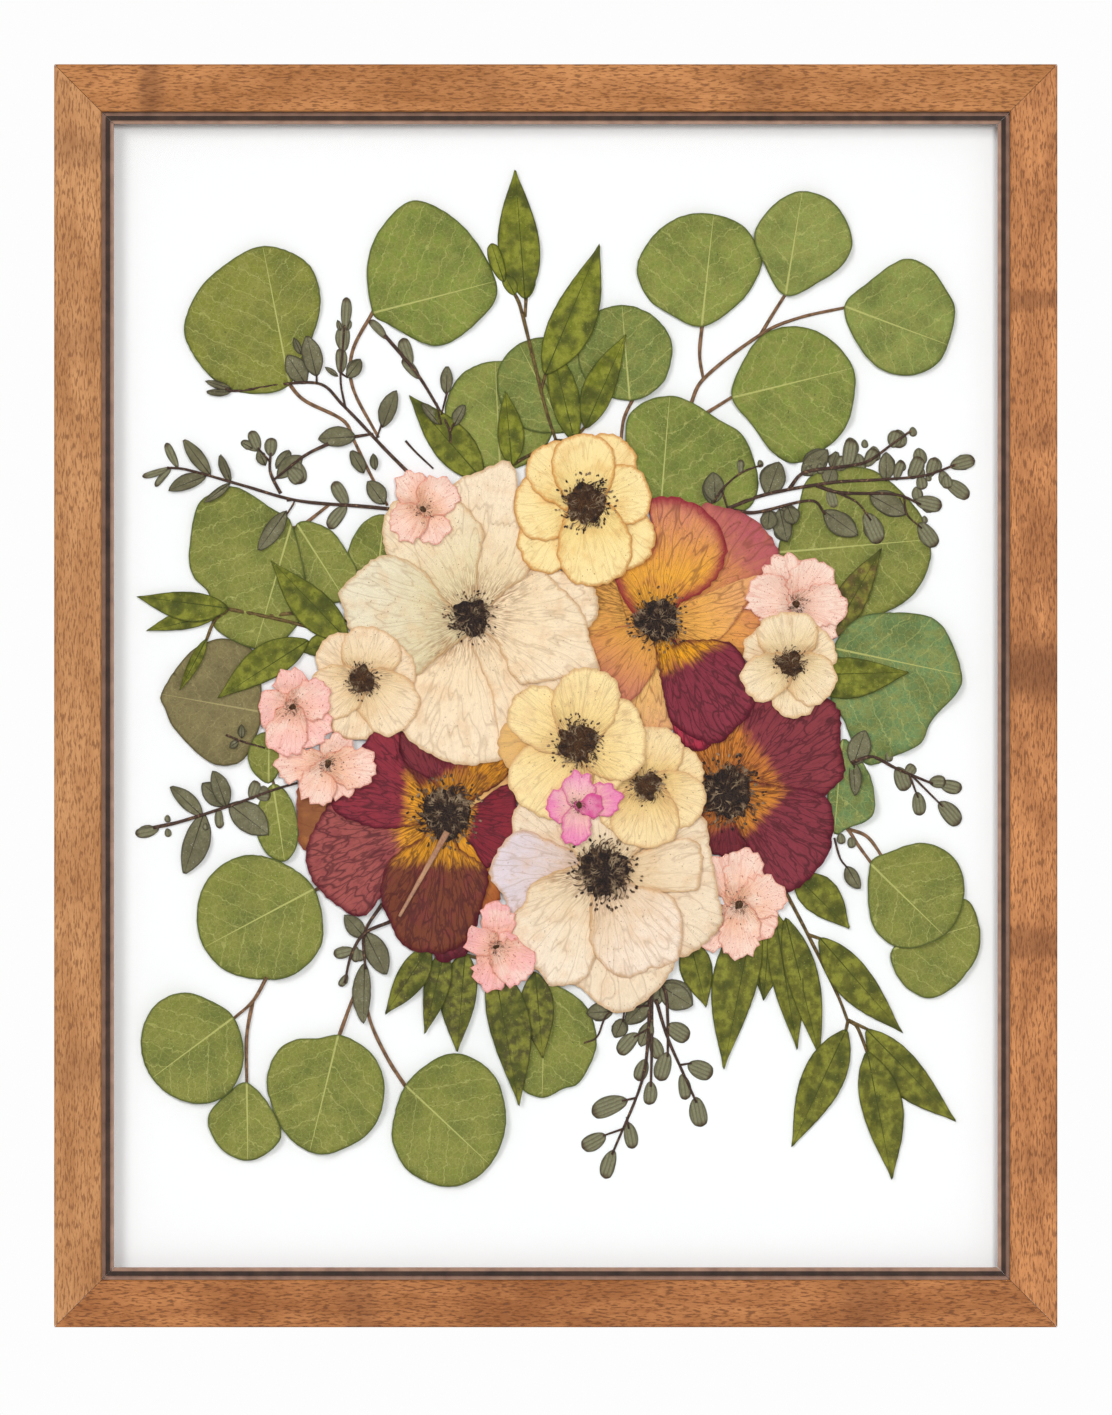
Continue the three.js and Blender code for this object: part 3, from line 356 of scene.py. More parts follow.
# A thin leaf or petal, or with a dome a seed capsule or boss, shaped under what lies on it.
# Cup lifts its rim, wave its middle, frill moves its outline and rough makes a dome lumpy
def sheet(plant, outline, base, tip, level, look, inner, outer, thickness=0.12, cup=1.0, wave=0.25,
          rings=8, dome=0.0, frill=0.0, spacing=1.3, seed=0, hub=None, rough=0.0):
    rim = spline(outline, True, spacing)
    area = np.cross(rim, np.roll(rim, -1, 0)).sum()
    if area < 0:
        rim = rim[::-1]
    around = len(rim)
    centre = rim.mean(0) if hub is None else np.asarray(hub)
    reach = np.linalg.norm(rim - centre, axis=1)
    rim = centre + (rim - centre) * (1 + frill * waves(rim, seed + 5, pressing["frillWave"]) / reach)[:, None]
    # Rings of points from the centre to the rim
    part = (np.arange(1, rings + 1) / rings) ** (0.8 if dome else 1.0)
    flat = np.vstack([centre[None], (centre + (rim - centre)[None] * part[:, None, None]).reshape(-1, 2)])
    share = np.concatenate([[0], np.repeat(part, around)])
    if dome:
        dome = min(dome, max((roomAbove(flat) - grid["margin"] - level).min() - thickness - 0.1, 0.05))
    # How thick it is, and how far it lifts until it meets what lies on it
    lumps = waves(flat, seed + 9, pressing["lumps"][0]) + waves(flat, seed + 8, pressing["lumps"][1])
    thick = thickness + dome * np.sqrt(np.maximum(1 - share**2, 0)) * (1 + rough * lumps)
    wanted = cup * share**2 * (0.75 + 0.5 * waves(flat, seed + 1, pressing["cupWave"]))
    wanted = wanted + wave * waves(flat, seed + 2, pressing["wave"]) * share
    free = roomAbove(flat) - grid["margin"] - level - thick
    lift = np.minimum(np.maximum(wanted, 0), free)
    lowest = boardFace + pressing["offBoard"] + pressing["stagger"] * (seed % 9) - level
    lift = np.maximum(lift, lowest)
    if dome:
        lift = np.full(len(lift), max(min(lift.min(), 0.4), lowest))
    back = level + lift
    front = back + thick
    # What is laid after it stays under it
    fillUnder(flat, back)
    inward = (flat + np.roll(flat, -1, 0)) / 2
    fillUnder(inward[1:-1], (back + np.roll(back, -1))[1:-1] / 2)
    # What its material reads
    axis = np.asarray(tip) - np.asarray(base)
    length = max(np.linalg.norm(axis), 0.5)
    axis = axis / length
    side = np.array([-axis[1], axis[0]])
    along, across = (flat - base) @ axis, (flat - base) @ side
    rimAway = (1 - share) * np.concatenate([[reach.mean()], np.tile(reach, rings)])
    growth = np.column_stack([along, across, np.full(len(flat), float(seed % 97))])
    edge = np.column_stack([along / length, rimAway, share])
    # Its front, its back and the edge between them
    behind = len(flat)
    points = np.vstack([np.column_stack([flat, front]), np.column_stack([flat, back])])
    faces = []
    nextOne = [(j + 1) % around for j in range(around)]
    for offset, turned in ((0, False), (behind, True)):
        for j in range(around):
            quads = [(offset, offset + 1 + j, offset + 1 + nextOne[j])]
            for k in range(rings - 1):
                ring = offset + 1 + k * around
                quads.append((ring + j, ring + around + j, ring + around + nextOne[j], ring + nextOne[j]))
            faces += [face[::-1] for face in quads] if turned else quads
    last = 1 + (rings - 1) * around
    for here, there in enumerate(nextOne):
        faces.append((last + here, behind + last + here, behind + last + there, last + there))
    keep(plant, points, faces, np.vstack([growth] * 2), np.vstack([edge] * 2), inner, outer, look)


# A pressed stem: an oval tube that narrows along its path
stemForm = {"spacing": 1.1, "unevenWave": 5, "riseWave": 14, "corners": 8}


def stem(plant, path, startWidth, endWidth, level, look, tone, thickness=0.5, seed=0):
    corners, offBoard = stemForm["corners"], pressing["offBoard"]
    line = spline(plan(path), False, stemForm["spacing"])
    rings = len(line)
    share = np.linspace(0, 1, rings)
    width = (startWidth + (endWidth - startWidth) * share) * pixel
    width = width * (1 + 0.08 * waves(line, seed, stemForm["unevenWave"]))
    ahead = np.gradient(line, axis=0)
    ahead /= np.linalg.norm(ahead, axis=1)[:, None]
    side = np.column_stack([-ahead[:, 1], ahead[:, 0]])
    room = roomAbove(line) - grid["margin"]
    tall = np.minimum(width * 0.75, thickness)
    bottom = np.minimum(level + 0.06 * (1 + waves(line, seed + 1, stemForm["riseWave"])), room - tall)
    tall = np.where(bottom < boardFace + offBoard, np.maximum(room - boardFace - offBoard, 0.06), tall)
    bottom = np.maximum(bottom, boardFace + offBoard)
    fillUnder(line, bottom)
    angle = np.arange(corners) / corners * 2 * math.pi
    turn = angle[None, :]
    plane = line[:, None, :] + side[:, None, :] * (np.cos(turn) * width[:, None] / 2)[:, :, None]
    height = bottom[:, None] + tall[:, None] * (0.5 + 0.5 * np.sin(turn))
    points = np.column_stack([plane.reshape(-1, 2), height.reshape(-1)])
    faces = []
    for i in range(rings - 1):
        for j in range(corners):
            k = (j + 1) % corners
            faces.append((i * corners + j, i * corners + k, (i + 1) * corners + k, (i + 1) * corners + j))
    faces.append(tuple(range(corners))[::-1])
    faces.append(tuple((rings - 1) * corners + j for j in range(corners)))
    gone = np.repeat(np.linspace(0, rings * stemForm["spacing"], rings), corners)
    growth = np.column_stack([gone, np.tile(np.sin(angle), rings), np.full(len(gone), float(seed % 97))])
    edge = np.column_stack([np.repeat(share, corners), np.ones(len(gone)), np.zeros(len(gone))])
    keep(plant, points, faces, growth, edge, tone, tone, look)


# Stamens: fine curled threads, and bead-like anthers in a wider ring round each centre. Lengths in mm
stamenSizes = {"Length": 2.6, "Radius": 0.11, "Anther": 0.34, "Curl": 0.6, "Spread": 0.7, "Seed": 4}


# Threads or anthers on each point, turned by the point's own angle about the view axis
def stamenTree(look):
    tree = bpy.data.node_groups.new("stamens", "GeometryNodeTree")
    socket = tree.interface.new_socket
    socket("Geometry", in_out="INPUT", socket_type="NodeSocketGeometry")
    for label in ("Length", "Radius", "Curl", "Anther", "Spread"):
        socket(label, in_out="INPUT", socket_type="NodeSocketFloat")
    socket("Seed", in_out="INPUT", socket_type="NodeSocketInt")
    socket("Geometry", in_out="OUTPUT", socket_type="NodeSocketGeometry")
    node = partial(add, tree)
    given = node("NodeGroupInput").node.outputs
    turn, isThread, scale = (
        node("GeometryNodeInputNamedAttribute", {"Name": key}, out="Attribute", data_type="FLOAT")
        for key in ("turn", "thread", "size")
    )
    # A thread: a bent line, half way along it lifted and curled, with a round section
    shares = (0.55, 0.06, given["Curl"])
    half, out, bend = (node("Math", [given["Length"], share], **times) for share in shares)
    middlePoint = node("CombineXYZ", [half, node("Math", [out, -1.0], **times), bend])
    ends = {"Start": (0, 0, 0), "Middle": middlePoint, "End": node("CombineXYZ", [given["Length"]])}
    line = node("GeometryNodeCurveQuadraticBezier", {"Resolution": 6, **ends})
    ring = node("GeometryNodeCurvePrimitiveCircle", {"Resolution": 5, "Radius": given["Radius"]}, out="Curve")
    thread = node("GeometryNodeCurveToMesh", {"Curve": line, "Profile Curve": ring, "Fill Caps": True})
    bead = node("GeometryNodeMeshIcoSphere", {"Radius": given["Anther"], "Subdivisions": 2}, out="Mesh")
    bead = node("GeometryNodeTransform", {"Geometry": bead, "Scale": (1.3, 0.5, 0.8)})
    least = node("Math", [given["Spread"], -1.0], **times)
    between = {2: least, 3: given["Spread"], "Seed": given["Seed"]}
    stray = node("FunctionNodeRandomValue", between, out=1, data_type="FLOAT")
    rotation = node("CombineXYZ", [None, node("Math", [turn, stray], **plus)])
    points = node("GeometryNodeMeshToPoints", {"Mesh": given["Geometry"]})
    isBead = node("Math", [isThread, 0.5], operation="LESS_THAN")
    both = node("GeometryNodeJoinGeometry")
    for chosen, shape in ((isThread, thread), (isBead, bead)):
        placed = {"Points": points, "Selection": chosen, "Instance": shape}
        turned = {"Rotation": rotation, "Scale": scale}
        connect(both.node, {0: node("GeometryNodeInstanceOnPoints", {**placed, **turned})})
    real = node("GeometryNodeRealizeInstances", {"Geometry": both})
    node("NodeGroupOutput", [node("GeometryNodeSetMaterial", {"Geometry": real, "Material": look})])
    return tree


# The plant's stamens as a plain mesh
def stamenMesh(found, tree):
    seedMesh = bpy.data.meshes.new("stamen_points")
    places = zip(found["at"], found["height"])
    seedMesh.from_pydata([(x * mm + middle[0], -h * mm, z * mm + middle[1]) for (x, z), h in places], [], [])
    for key, values in (("turn", -found["angle"]), ("thread", found["thread"]), ("size", found["size"])):
        layer = seedMesh.attributes.new(key, "FLOAT", "POINT")
        layer.data.foreach_set("value", np.asarray(values, np.float32))
    carrier = bpy.data.objects.new("stamen_points", seedMesh)
    bpy.context.scene.collection.objects.link(carrier)
    modifier = carrier.modifiers.new("stamens", "NODES")
    modifier.node_group = tree
    for item in tree.interface.items_tree:
        if item.in_out == "INPUT" and item.name in stamenSizes:
            inMm = item.name in ("Length", "Radius", "Anther")
            modifier[item.identifier] = stamenSizes[item.name] * (mm if inMm else 1)
    solid = bpy.data.meshes.new_from_object(carrier.evaluated_get(bpy.context.evaluated_depsgraph_get()))
    bpy.data.objects.remove(carrier)
    return solid


# What a plant's materials read, as attributes of its mesh
attributeKinds = {
    "growth": "FLOAT_VECTOR", "edge": "FLOAT_VECTOR", "inner": "FLOAT_COLOR", "outer": "FLOAT_COLOR",
}


# One mesh with its attributes and materials, at the origin
def finished(plant, looks, tree):
    x, z, height = np.vstack(plant["points"]).T * mm
    mesh = bpy.data.meshes.new(plant["name"] + "_pressed")
    mesh.from_pydata(np.column_stack([x + middle[0], -height, z + middle[1]]).tolist(), [], plant["faces"])
    for key, kind in attributeKinds.items():
        layer = mesh.attributes.new(key, kind, "POINT")
        values = np.vstack(plant[key]).astype(np.float32)
        layer.data.foreach_set("vector" if kind == "FLOAT_VECTOR" else "color", values.ravel())
    used = sorted(set(plant["looks"]))
    for look in used:
        mesh.materials.append(looks[look])
    mesh.polygons.foreach_set("material_index", [used.index(look) for look in plant["looks"]])
    if "stamens" in plant:
        both = bmesh.new()
        both.from_mesh(mesh)
        already = len(both.faces)
        both.from_mesh(stamenMesh(plant["stamens"], tree))
        both.faces.ensure_lookup_table()
        for face in both.faces[already:]:
            face.material_index = len(used)
        mesh.materials.append(looks["stamen"])
        both.to_mesh(mesh)
    mesh.polygons.foreach_set("use_smooth", [True] * len(mesh.polygons))
    mesh.update()
    made = bpy.data.objects.new(plant["name"] + "_pressed", mesh)
    bpy.context.scene.collection.objects.link(made)
    return made


# Materials of the pressed plants. Each reads growth (along, across and seed, in mm from the base),
# edge (share of the length, mm to the rim, share of the way to the rim) and its place in mm,
# so every scale below is in cells to a millimetre
def grown(name, **constants):
    made, node, shader = material(name, Specular_IOR_Level=0.12, **constants)
    growth, edge = (node("Attribute", attribute_name=key, out="Vector") for key in ("growth", "edge"))
    inner, outer = (node("Attribute", attribute_name=key, out="Color") for key in ("inner", "outer"))
    along, across, seed = (node("SeparateXYZ", [growth], out=k) for k in range(3))
    share, rim = (node("SeparateXYZ", [edge], out=k) for k in range(2))
    place = node("VectorMath", {0: node("TexCoord", out="Object"), "Scale": 1 / mm}, operation="SCALE")
    return made, node, shader, SimpleNamespace(
        growth=growth, along=along, across=across, seed=seed, share=share, rim=rim,
        inner=inner, outer=outer, place=place,
    )


# 1 where a noise crosses its middle, which draws a wandering line
def thinLines(node, value, width):
    away = node("Math", [node("Math", [value, 0.5], **less)], **absolute)
    return node("MapRange", [away, 0, width, 1, 0], **smooth)


# Pressed petals: thin dried tissue, so veins fan out from the base and show darker, the rim dries
# darker than the middle, and pigment gathers in small specks. Reach is where the inner tone gives
# way to the outer one, and how far that strays; rimWidth is in mm
petalLooks = {
    "cream_petal": {"reach": (0.18, 0.85, 0.5), "net": 0.25, "rimWidth": 1.5, "speckled": 0.70,
                    "vein": "#A8805C", "veins": 0.36, "rim": "#E0AC74", "rimStrength": 0.6,
                    "speck": "#8A6242", "stain": "#E3B07C", "stains": 0.3,
                    "streak": "#86522C", "streaks": 0.65},
    "yellow_petal": {"reach": (0.18, 0.85, 0.5), "net": 0.2, "rimWidth": 1.5, "speckled": 0.71,
                     "vein": "#C08C48", "veins": 0.3, "rim": "#DC9648", "rimStrength": 0.85,
                     "speck": "#93602E", "stain": "#E8AC5C", "stains": 0.35,
                    "streak": "#A06A30", "streaks": 0.4},
    "orange_petal": {"reach": (0.25, 0.95, 0.4), "net": 0.3, "rimWidth": 0.8, "speckled": 0.71,
                     "vein": "#7A4028", "veins": 0.55, "rim": "#A8484C", "rimStrength": 0.5,
                     "speck": "#5A2A20", "stain": "#E0924C", "stains": 0.3,
                    "streak": "#5A3014", "streaks": 0.6},
    "rimmed_petal": {"reach": (0.3, 1.0, 0.4), "net": 0.35, "rimWidth": 4.4, "speckled": 0.71,
                     "vein": "#6E3428", "veins": 0.6, "rim": "#961E36", "rimStrength": 0.9,
                     "speck": "#5A1A20", "stain": "#E0844C", "stains": 0.3,
                    "streak": "#5A3014", "streaks": 0.5},
    "burgundy_petal": {"reach": (0.3, 0.42, 0.16), "net": 0.85, "rimWidth": 1.8, "speckled": 0.72,
                       "vein": "#3E1018", "veins": 0.75, "rim": "#5A1226", "rimStrength": 0.75,
                       "speck": "#3A1014", "stain": "#7A2836", "stains": 0.4,
                    "streak": "#4A2410", "streaks": 0.5},
    "pink_petal": {"reach": (0.1, 0.9, 0.9), "net": 0.3, "rimWidth": 0.8, "speckled": 0.66,
                   "vein": "#DE8C78", "veins": 0.45, "rim": "#E88C74", "rimStrength": 0.6,
                   "speck": "#B4503C", "stain": "#FDE6D6", "stains": 0.6,
                    "streak": "#9A5C34", "streaks": 0.6},
    "bright_pink_petal": {"reach": (0.3, 0.9, 0.8), "net": 0.2, "rimWidth": 1.2, "speckled": 0.68,
                          "vein": "#D05C94", "veins": 0.35, "rim": "#DC5096", "rimStrength": 0.7,
                          "speck": "#C03A6C", "stain": "#FAC0CC", "stains": 0.5,
                    "streak": "#B08C3C", "streaks": 0.5},
}
petalRelief = {"strength": 0.35, "depth": 0.0003}


def petal(name, look):
    made, node, shader, read = grown(name, Roughness=0.62)
    # The fan: angle about a point just behind the base, and distance from the base
    ahead = node("Math", [read.along, 1.5], **plus)
    angle = node("Math", [read.across, ahead], operation="ARCTAN2")
    length = node("VectorMath", [node("CombineXYZ", [read.along, read.across])], operation="LENGTH")
    polar = node("CombineXYZ", [angle, length, read.seed])
    fan = node("VectorMath", [polar, (9, 0.075, 1)], operation="MULTIPLY")
    tissue, grainy, specks, stray, wide, fine, streaks = (
        node("TexNoise", [at, None, scale, detail, roughness]) for at, scale, detail, roughness in (
            (read.place, 0.16, 3, 0.5), (read.place, 1.3, 4, 0.65), (read.place, 1.9, 1, 0.5),
            (fan, 2.2, 3, 0.55), (fan, 1.1, 1, 0.4), (fan, 2.4, 1, 0.5), (fan, 4.0, 2, 0.6),
        )
    )
    begins, ends, strays = look["reach"]
    reach = node("Math", [stray, strays, read.share], **timesPlus)
    reach = node("MapRange", [reach, begins + strays / 2, ends + strays / 2], **smooth)
    # Wide and fine veins, and a net of cells between them
    warped = node("VectorMath", [fan, node("TexNoise", {"Vector": fan, "Scale": 1.6}, out="Color")], **plus)
    net = node("TexVoronoi", {"Vector": warped, "Scale": 1.25}, out="Distance", feature="DISTANCE_TO_EDGE")
    net = node("MapRange", [net, 0.02, 0.075, look["net"], 0], **smooth)
    wide, fine = thinLines(node, wide, 0.045), thinLines(node, fine, 0.05)
    veins = node("Math", [wide, net], operation="MAXIMUM")
    veins = node("Math", [veins, node("Math", [fine, 0.4], **times)], operation="MAXIMUM")
    streaks = node("MapRange", [streaks, 0.4, 0.62], **smooth)
    inside = node("MapRange", [read.share, 0.14, 0.4, look["streaks"], 0], **smooth)
    ragged = 2.2
    rim = node("Math", [grainy, ragged, read.rim], **timesPlus)
    rimEnds = look["rimWidth"] + ragged / 2
    speckled, strong = look["speckled"], look["rimStrength"]
    layers = [
        (reach, read.outer),
        (node("MapRange", [tissue, 0.48, 0.68, 0, look["stains"]], **smooth), look["stain"]),
        (0.3, node("ValToRGB", [grainy], stops=[(0.3, "#EAEAEA"), (0.6, "#FFFFFF")]), "MULTIPLY"),
        (node("Math", [veins, look["veins"]], **times), look["vein"]),
        (node("Math", [streaks, inside], **times), look["streak"]),
        (node("MapRange", [rim, ragged / 2, rimEnds, strong, 0], **smooth), look["rim"]),
        (node("MapRange", [specks, speckled, speckled + 0.05, 0, 0.75], **smooth), look["speck"]),
    ]
    relief = node("Math", [veins, -0.5, node("Math", [grainy, tissue], **plus)], **timesPlus)
    coat(node, shader, read.inner, layers, relief, **petalRelief)
    return made


# Pressed leaves: leathery blades whose midrib and side veins stay lighter than the tissue, with
# bruised patches, pale waxy specks and a thin dark rim. Patches is cells to a mm, rib is half the
# midrib's width in mm, slant and gap turn and space the side veins, mesh is the fine net's strength
leafLooks = {
    "eucalyptus_leaf": {"patch": "#95924A", "bruise": "#56622C", "vein": "#B4B46A", "veins": 0.6, "rib": 0.26,
                        "slant": 0.75, "gap": 0.14, "rim": "#4E5A2C", "speck": "#BCC488", "dark": "#3E4626",
                        "patches": 0.11, "bands": 0.5, "hard": 0.25, "mesh": 0.4},
    "aged_leaf": {"patch": "#8F8356", "bruise": "#6B6040", "vein": "#A49868", "veins": 0.42, "rib": 0.24,
                  "slant": 0.75, "gap": 0.14, "rim": "#544A30", "speck": "#B8AD84", "dark": "#4A4028",
                  "patches": 0.11, "bands": 0.5, "hard": 0.25, "mesh": 0.5},
    # On the ruscus the pale yellow-green left between its dark blotches is partly its own colour and partly a
    # painted glossy highlight
    "ruscus_leaf": {"patch": "#A8A83E", "bruise": "#454A1A", "vein": "#3E4412", "veins": 0.25, "rib": 0.16,
                    "slant": 0.2, "gap": 0.5, "rim": "#3C4212", "speck": "#A8AE52", "dark": "#33380E",
                    "patches": 0.2, "bands": 0.85, "hard": 0.2, "mesh": 0.3},
    "seeded_leaf": {"patch": "#8E8A6E", "bruise": "#625C44", "vein": "#40382A", "veins": 0.5, "rib": 0.17,
                    "slant": 1.0, "gap": 0.4, "rim": "#3C3428", "speck": "#CAC8B6", "dark": "#3E3628",
                    "patches": 0.11, "bands": 0.5, "hard": 0.2, "mesh": 0.4},
}
leafRelief = {"strength": 0.4, "depth": 0.0003}


def leaf(name, look):
    made, node, shader, read = grown(name, Roughness=0.65)
    elsewhere = node("VectorMath", [read.place, (31, 7, 19)], **plus)
    warp, patches, grainy, specks, spots = (
        node("TexNoise", [at, None, scale, detail, roughness]) for at, scale, detail, roughness in (
            (read.place, 0.35, 2, 0.55), (read.place, look["patches"], 2, 0.5), (read.place, 1.6, 4, 0.7),
            (read.place, 2.3, 1, 0.5), (elsewhere, 1.5, 2, 0.5),
        )
    )
    # Side veins: they slant away from the midrib, waver, and alternate from side to side
    side = node("Math", [read.across], **absolute)
    waver, alternate = 5.0, 0.9
    slant = node("Math", [side, -look["slant"], read.along], **timesPlus)
    slant = node("Math", [warp, waver, slant], **timesPlus)
    slant = node("Math", [node("Math", [read.across], operation="SIGN"), alternate, slant], **timesPlus)
    cycle = node("Math", [slant, look["gap"], -look["gap"] * waver / 2], **timesPlus)
    cycle = node("Math", [node("Math", [cycle], operation="FRACT"), 0.5], **less)
    sideVeins = node("MapRange", [node("Math", [cycle], **absolute), 0, 0.05, 1, 0], **smooth)
    # The fine net between them, and the midrib, which thins towards the tip
    uneven = node("TexNoise", {"Vector": read.place, "Scale": 0.8}, out="Color")
    cells = node("TexVoronoi", {"Vector": node("VectorMath", [read.growth, uneven], **plus), "Scale": 0.42},
                 out="Distance", feature="DISTANCE_TO_EDGE")
    net = node("MapRange", [cells, 0, 0.07, look["mesh"], 0], **smooth)
    ribWidth = node("Math", [read.share, -look["rib"], 1.25 * look["rib"]], **timesPlus)
    midrib = node("Math", [side, ribWidth], operation="LESS_THAN")
    lesser = node("Math", [node("Math", [sideVeins, net], operation="MAXIMUM"), look["veins"]], **times)
    soft, hard = 0.5 - look["hard"] / 2, 0.5 + look["hard"]
    layers = [
        (0.55, look["patch"]),
        (node("MapRange", [warp, 0.38, 0.62], **smooth), read.inner),
        # Dark blotches; on the ruscus the pale colour left between them is partly a painted glossy highlight
        (node("MapRange", [patches, soft, hard, 0, look["bands"]], **smooth), look["bruise"]),
        (0.55, node("ValToRGB", [grainy], stops=[(0.3, "#BDBDB4"), (0.65, "#FFFFFF")]), "MULTIPLY"),
        (node("Math", [midrib, lesser], operation="MAXIMUM"), look["vein"]),
        (node("MapRange", [specks, 0.69, 0.74, 0, 0.55], **smooth), look["speck"]),
        (node("MapRange", [spots, 0.68, 0.74, 0, 0.7], **smooth), look["dark"]),
        (node("MapRange", [read.rim, 0.12, 0.75, 0.75, 0], **smooth), look["rim"]),
    ]
    raised = node("Math", [midrib, sideVeins], operation="MAXIMUM")
    relief = node("Math", [raised, 0.7, grainy], **timesPlus)
    coat(node, shader, read.inner, layers, relief, **leafRelief)
    return made


# Seed capsules: small woody cups, ribbed from stalk to crown, browner at the mouth, with pale flecks painted
# on as small highlights
def capsule():
    made, node, shader, read = grown("seed_capsule", Roughness=0.55)
    ribs = node("Math", [node("Math", [read.across, 5.5], **times)], operation="SINE")
    grainy = node("TexNoise", [read.place, None, 1.8, 4, 0.7])
    layers = [
        (node("MapRange", [grainy, 0.35, 0.7], **smooth), "#747052"),
        (node("MapRange", [ribs, 0.2, 1.0, 0, 0.5], **smooth), "#4A4230"),
        (node("MapRange", [read.share, 0.78, 0.95, 0, 0.85], **smooth), "#4E3A28"),
        # Pale flecks: a painted highlight
        (node("MapRange", [grainy, 0.6, 0.75, 0, 0.5], **smooth), "#A9A888"),
        (node("MapRange", [read.rim, 0.1, 0.9, 0.6, 0], **smooth), "#3A3022"),
    ]
    coat(node, shader, read.inner, layers, node("Math", [ribs, grainy], **plus), strength=0.5, depth=0.0002)
    return made


# Dried stems: furrowed bark, lighter on the ridges
def bark():
    made, node, shader, read = grown("stem_bark", Roughness=0.6)
    stretched = node("Mapping", {"Vector": read.growth, "Scale": (0.35, 2.2, 1.0)})
    furrows = node("TexNoise", [stretched, None, 1.6, 3, 0.6])
    ridges = node("TexNoise", [read.place, None, 1.2, 2, 0.55])
    layers = [
        (node("MapRange", [furrows, 0.4, 0.62, 0, 0.7], **smooth), "#2E1E16"),
        (node("MapRange", [ridges, 0.55, 0.75, 0, 0.45], **smooth), "#C09468"),
    ]
    coat(node, shader, read.inner, layers, furrows, strength=0.5, depth=0.0002)
    return made


# Flower centres: a flattened tuft of dark stamens, matted and dusty
def tuft():
    made, node, shader, read = grown("stamen_tuft", Roughness=0.8)
    grainy = node("TexNoise", [read.place, None, 3.0, 4, 0.75])
    threads = thinLines(node, node("TexNoise", [read.place, None, 1.7, 2, 0.6]), 0.04)
    layers = [
        (node("MapRange", [grainy, 0.4, 0.7], **smooth), read.outer),
        (node("Math", [threads, 0.5], **times), "#86664E"),
    ]
    relief = node("Math", [grainy, threads], **plus)
    coat(node, shader, read.inner, layers, relief, strength=0.8, depth=0.0004)
    return made


# Stamens: dry threads and anthers, nearly black to rusty brown, mottled every 2 mm
def stamenLook():
    made, node, shader = material("stamen", Roughness=0.7, Specular_IOR_Level=0.2)
    place = node("TexCoord", out="Object")
    change = node("TexNoise", [place, None, 420, 2, 0.55])
    base = node("ValToRGB", [change], stops=[(0.38, "#1E1514"), (0.5, "#503828"), (0.66, "#9C8468")])
    coat(node, shader, base, [], node("TexNoise", [place, None, 4000, 2, 0.55]), strength=0.3, depth=0.0001)
    return made


looks = {"capsule": capsule(), "bark": bark(), "tuft": tuft(), "stamen": stamenLook()}
for recipe, finishes in ((petal, petalLooks), (leaf, leafLooks)):
    looks.update({name: recipe(name, finish) for name, finish in finishes.items()})
stamens = stamenTree(looks["stamen"])
print("plant materials ready")
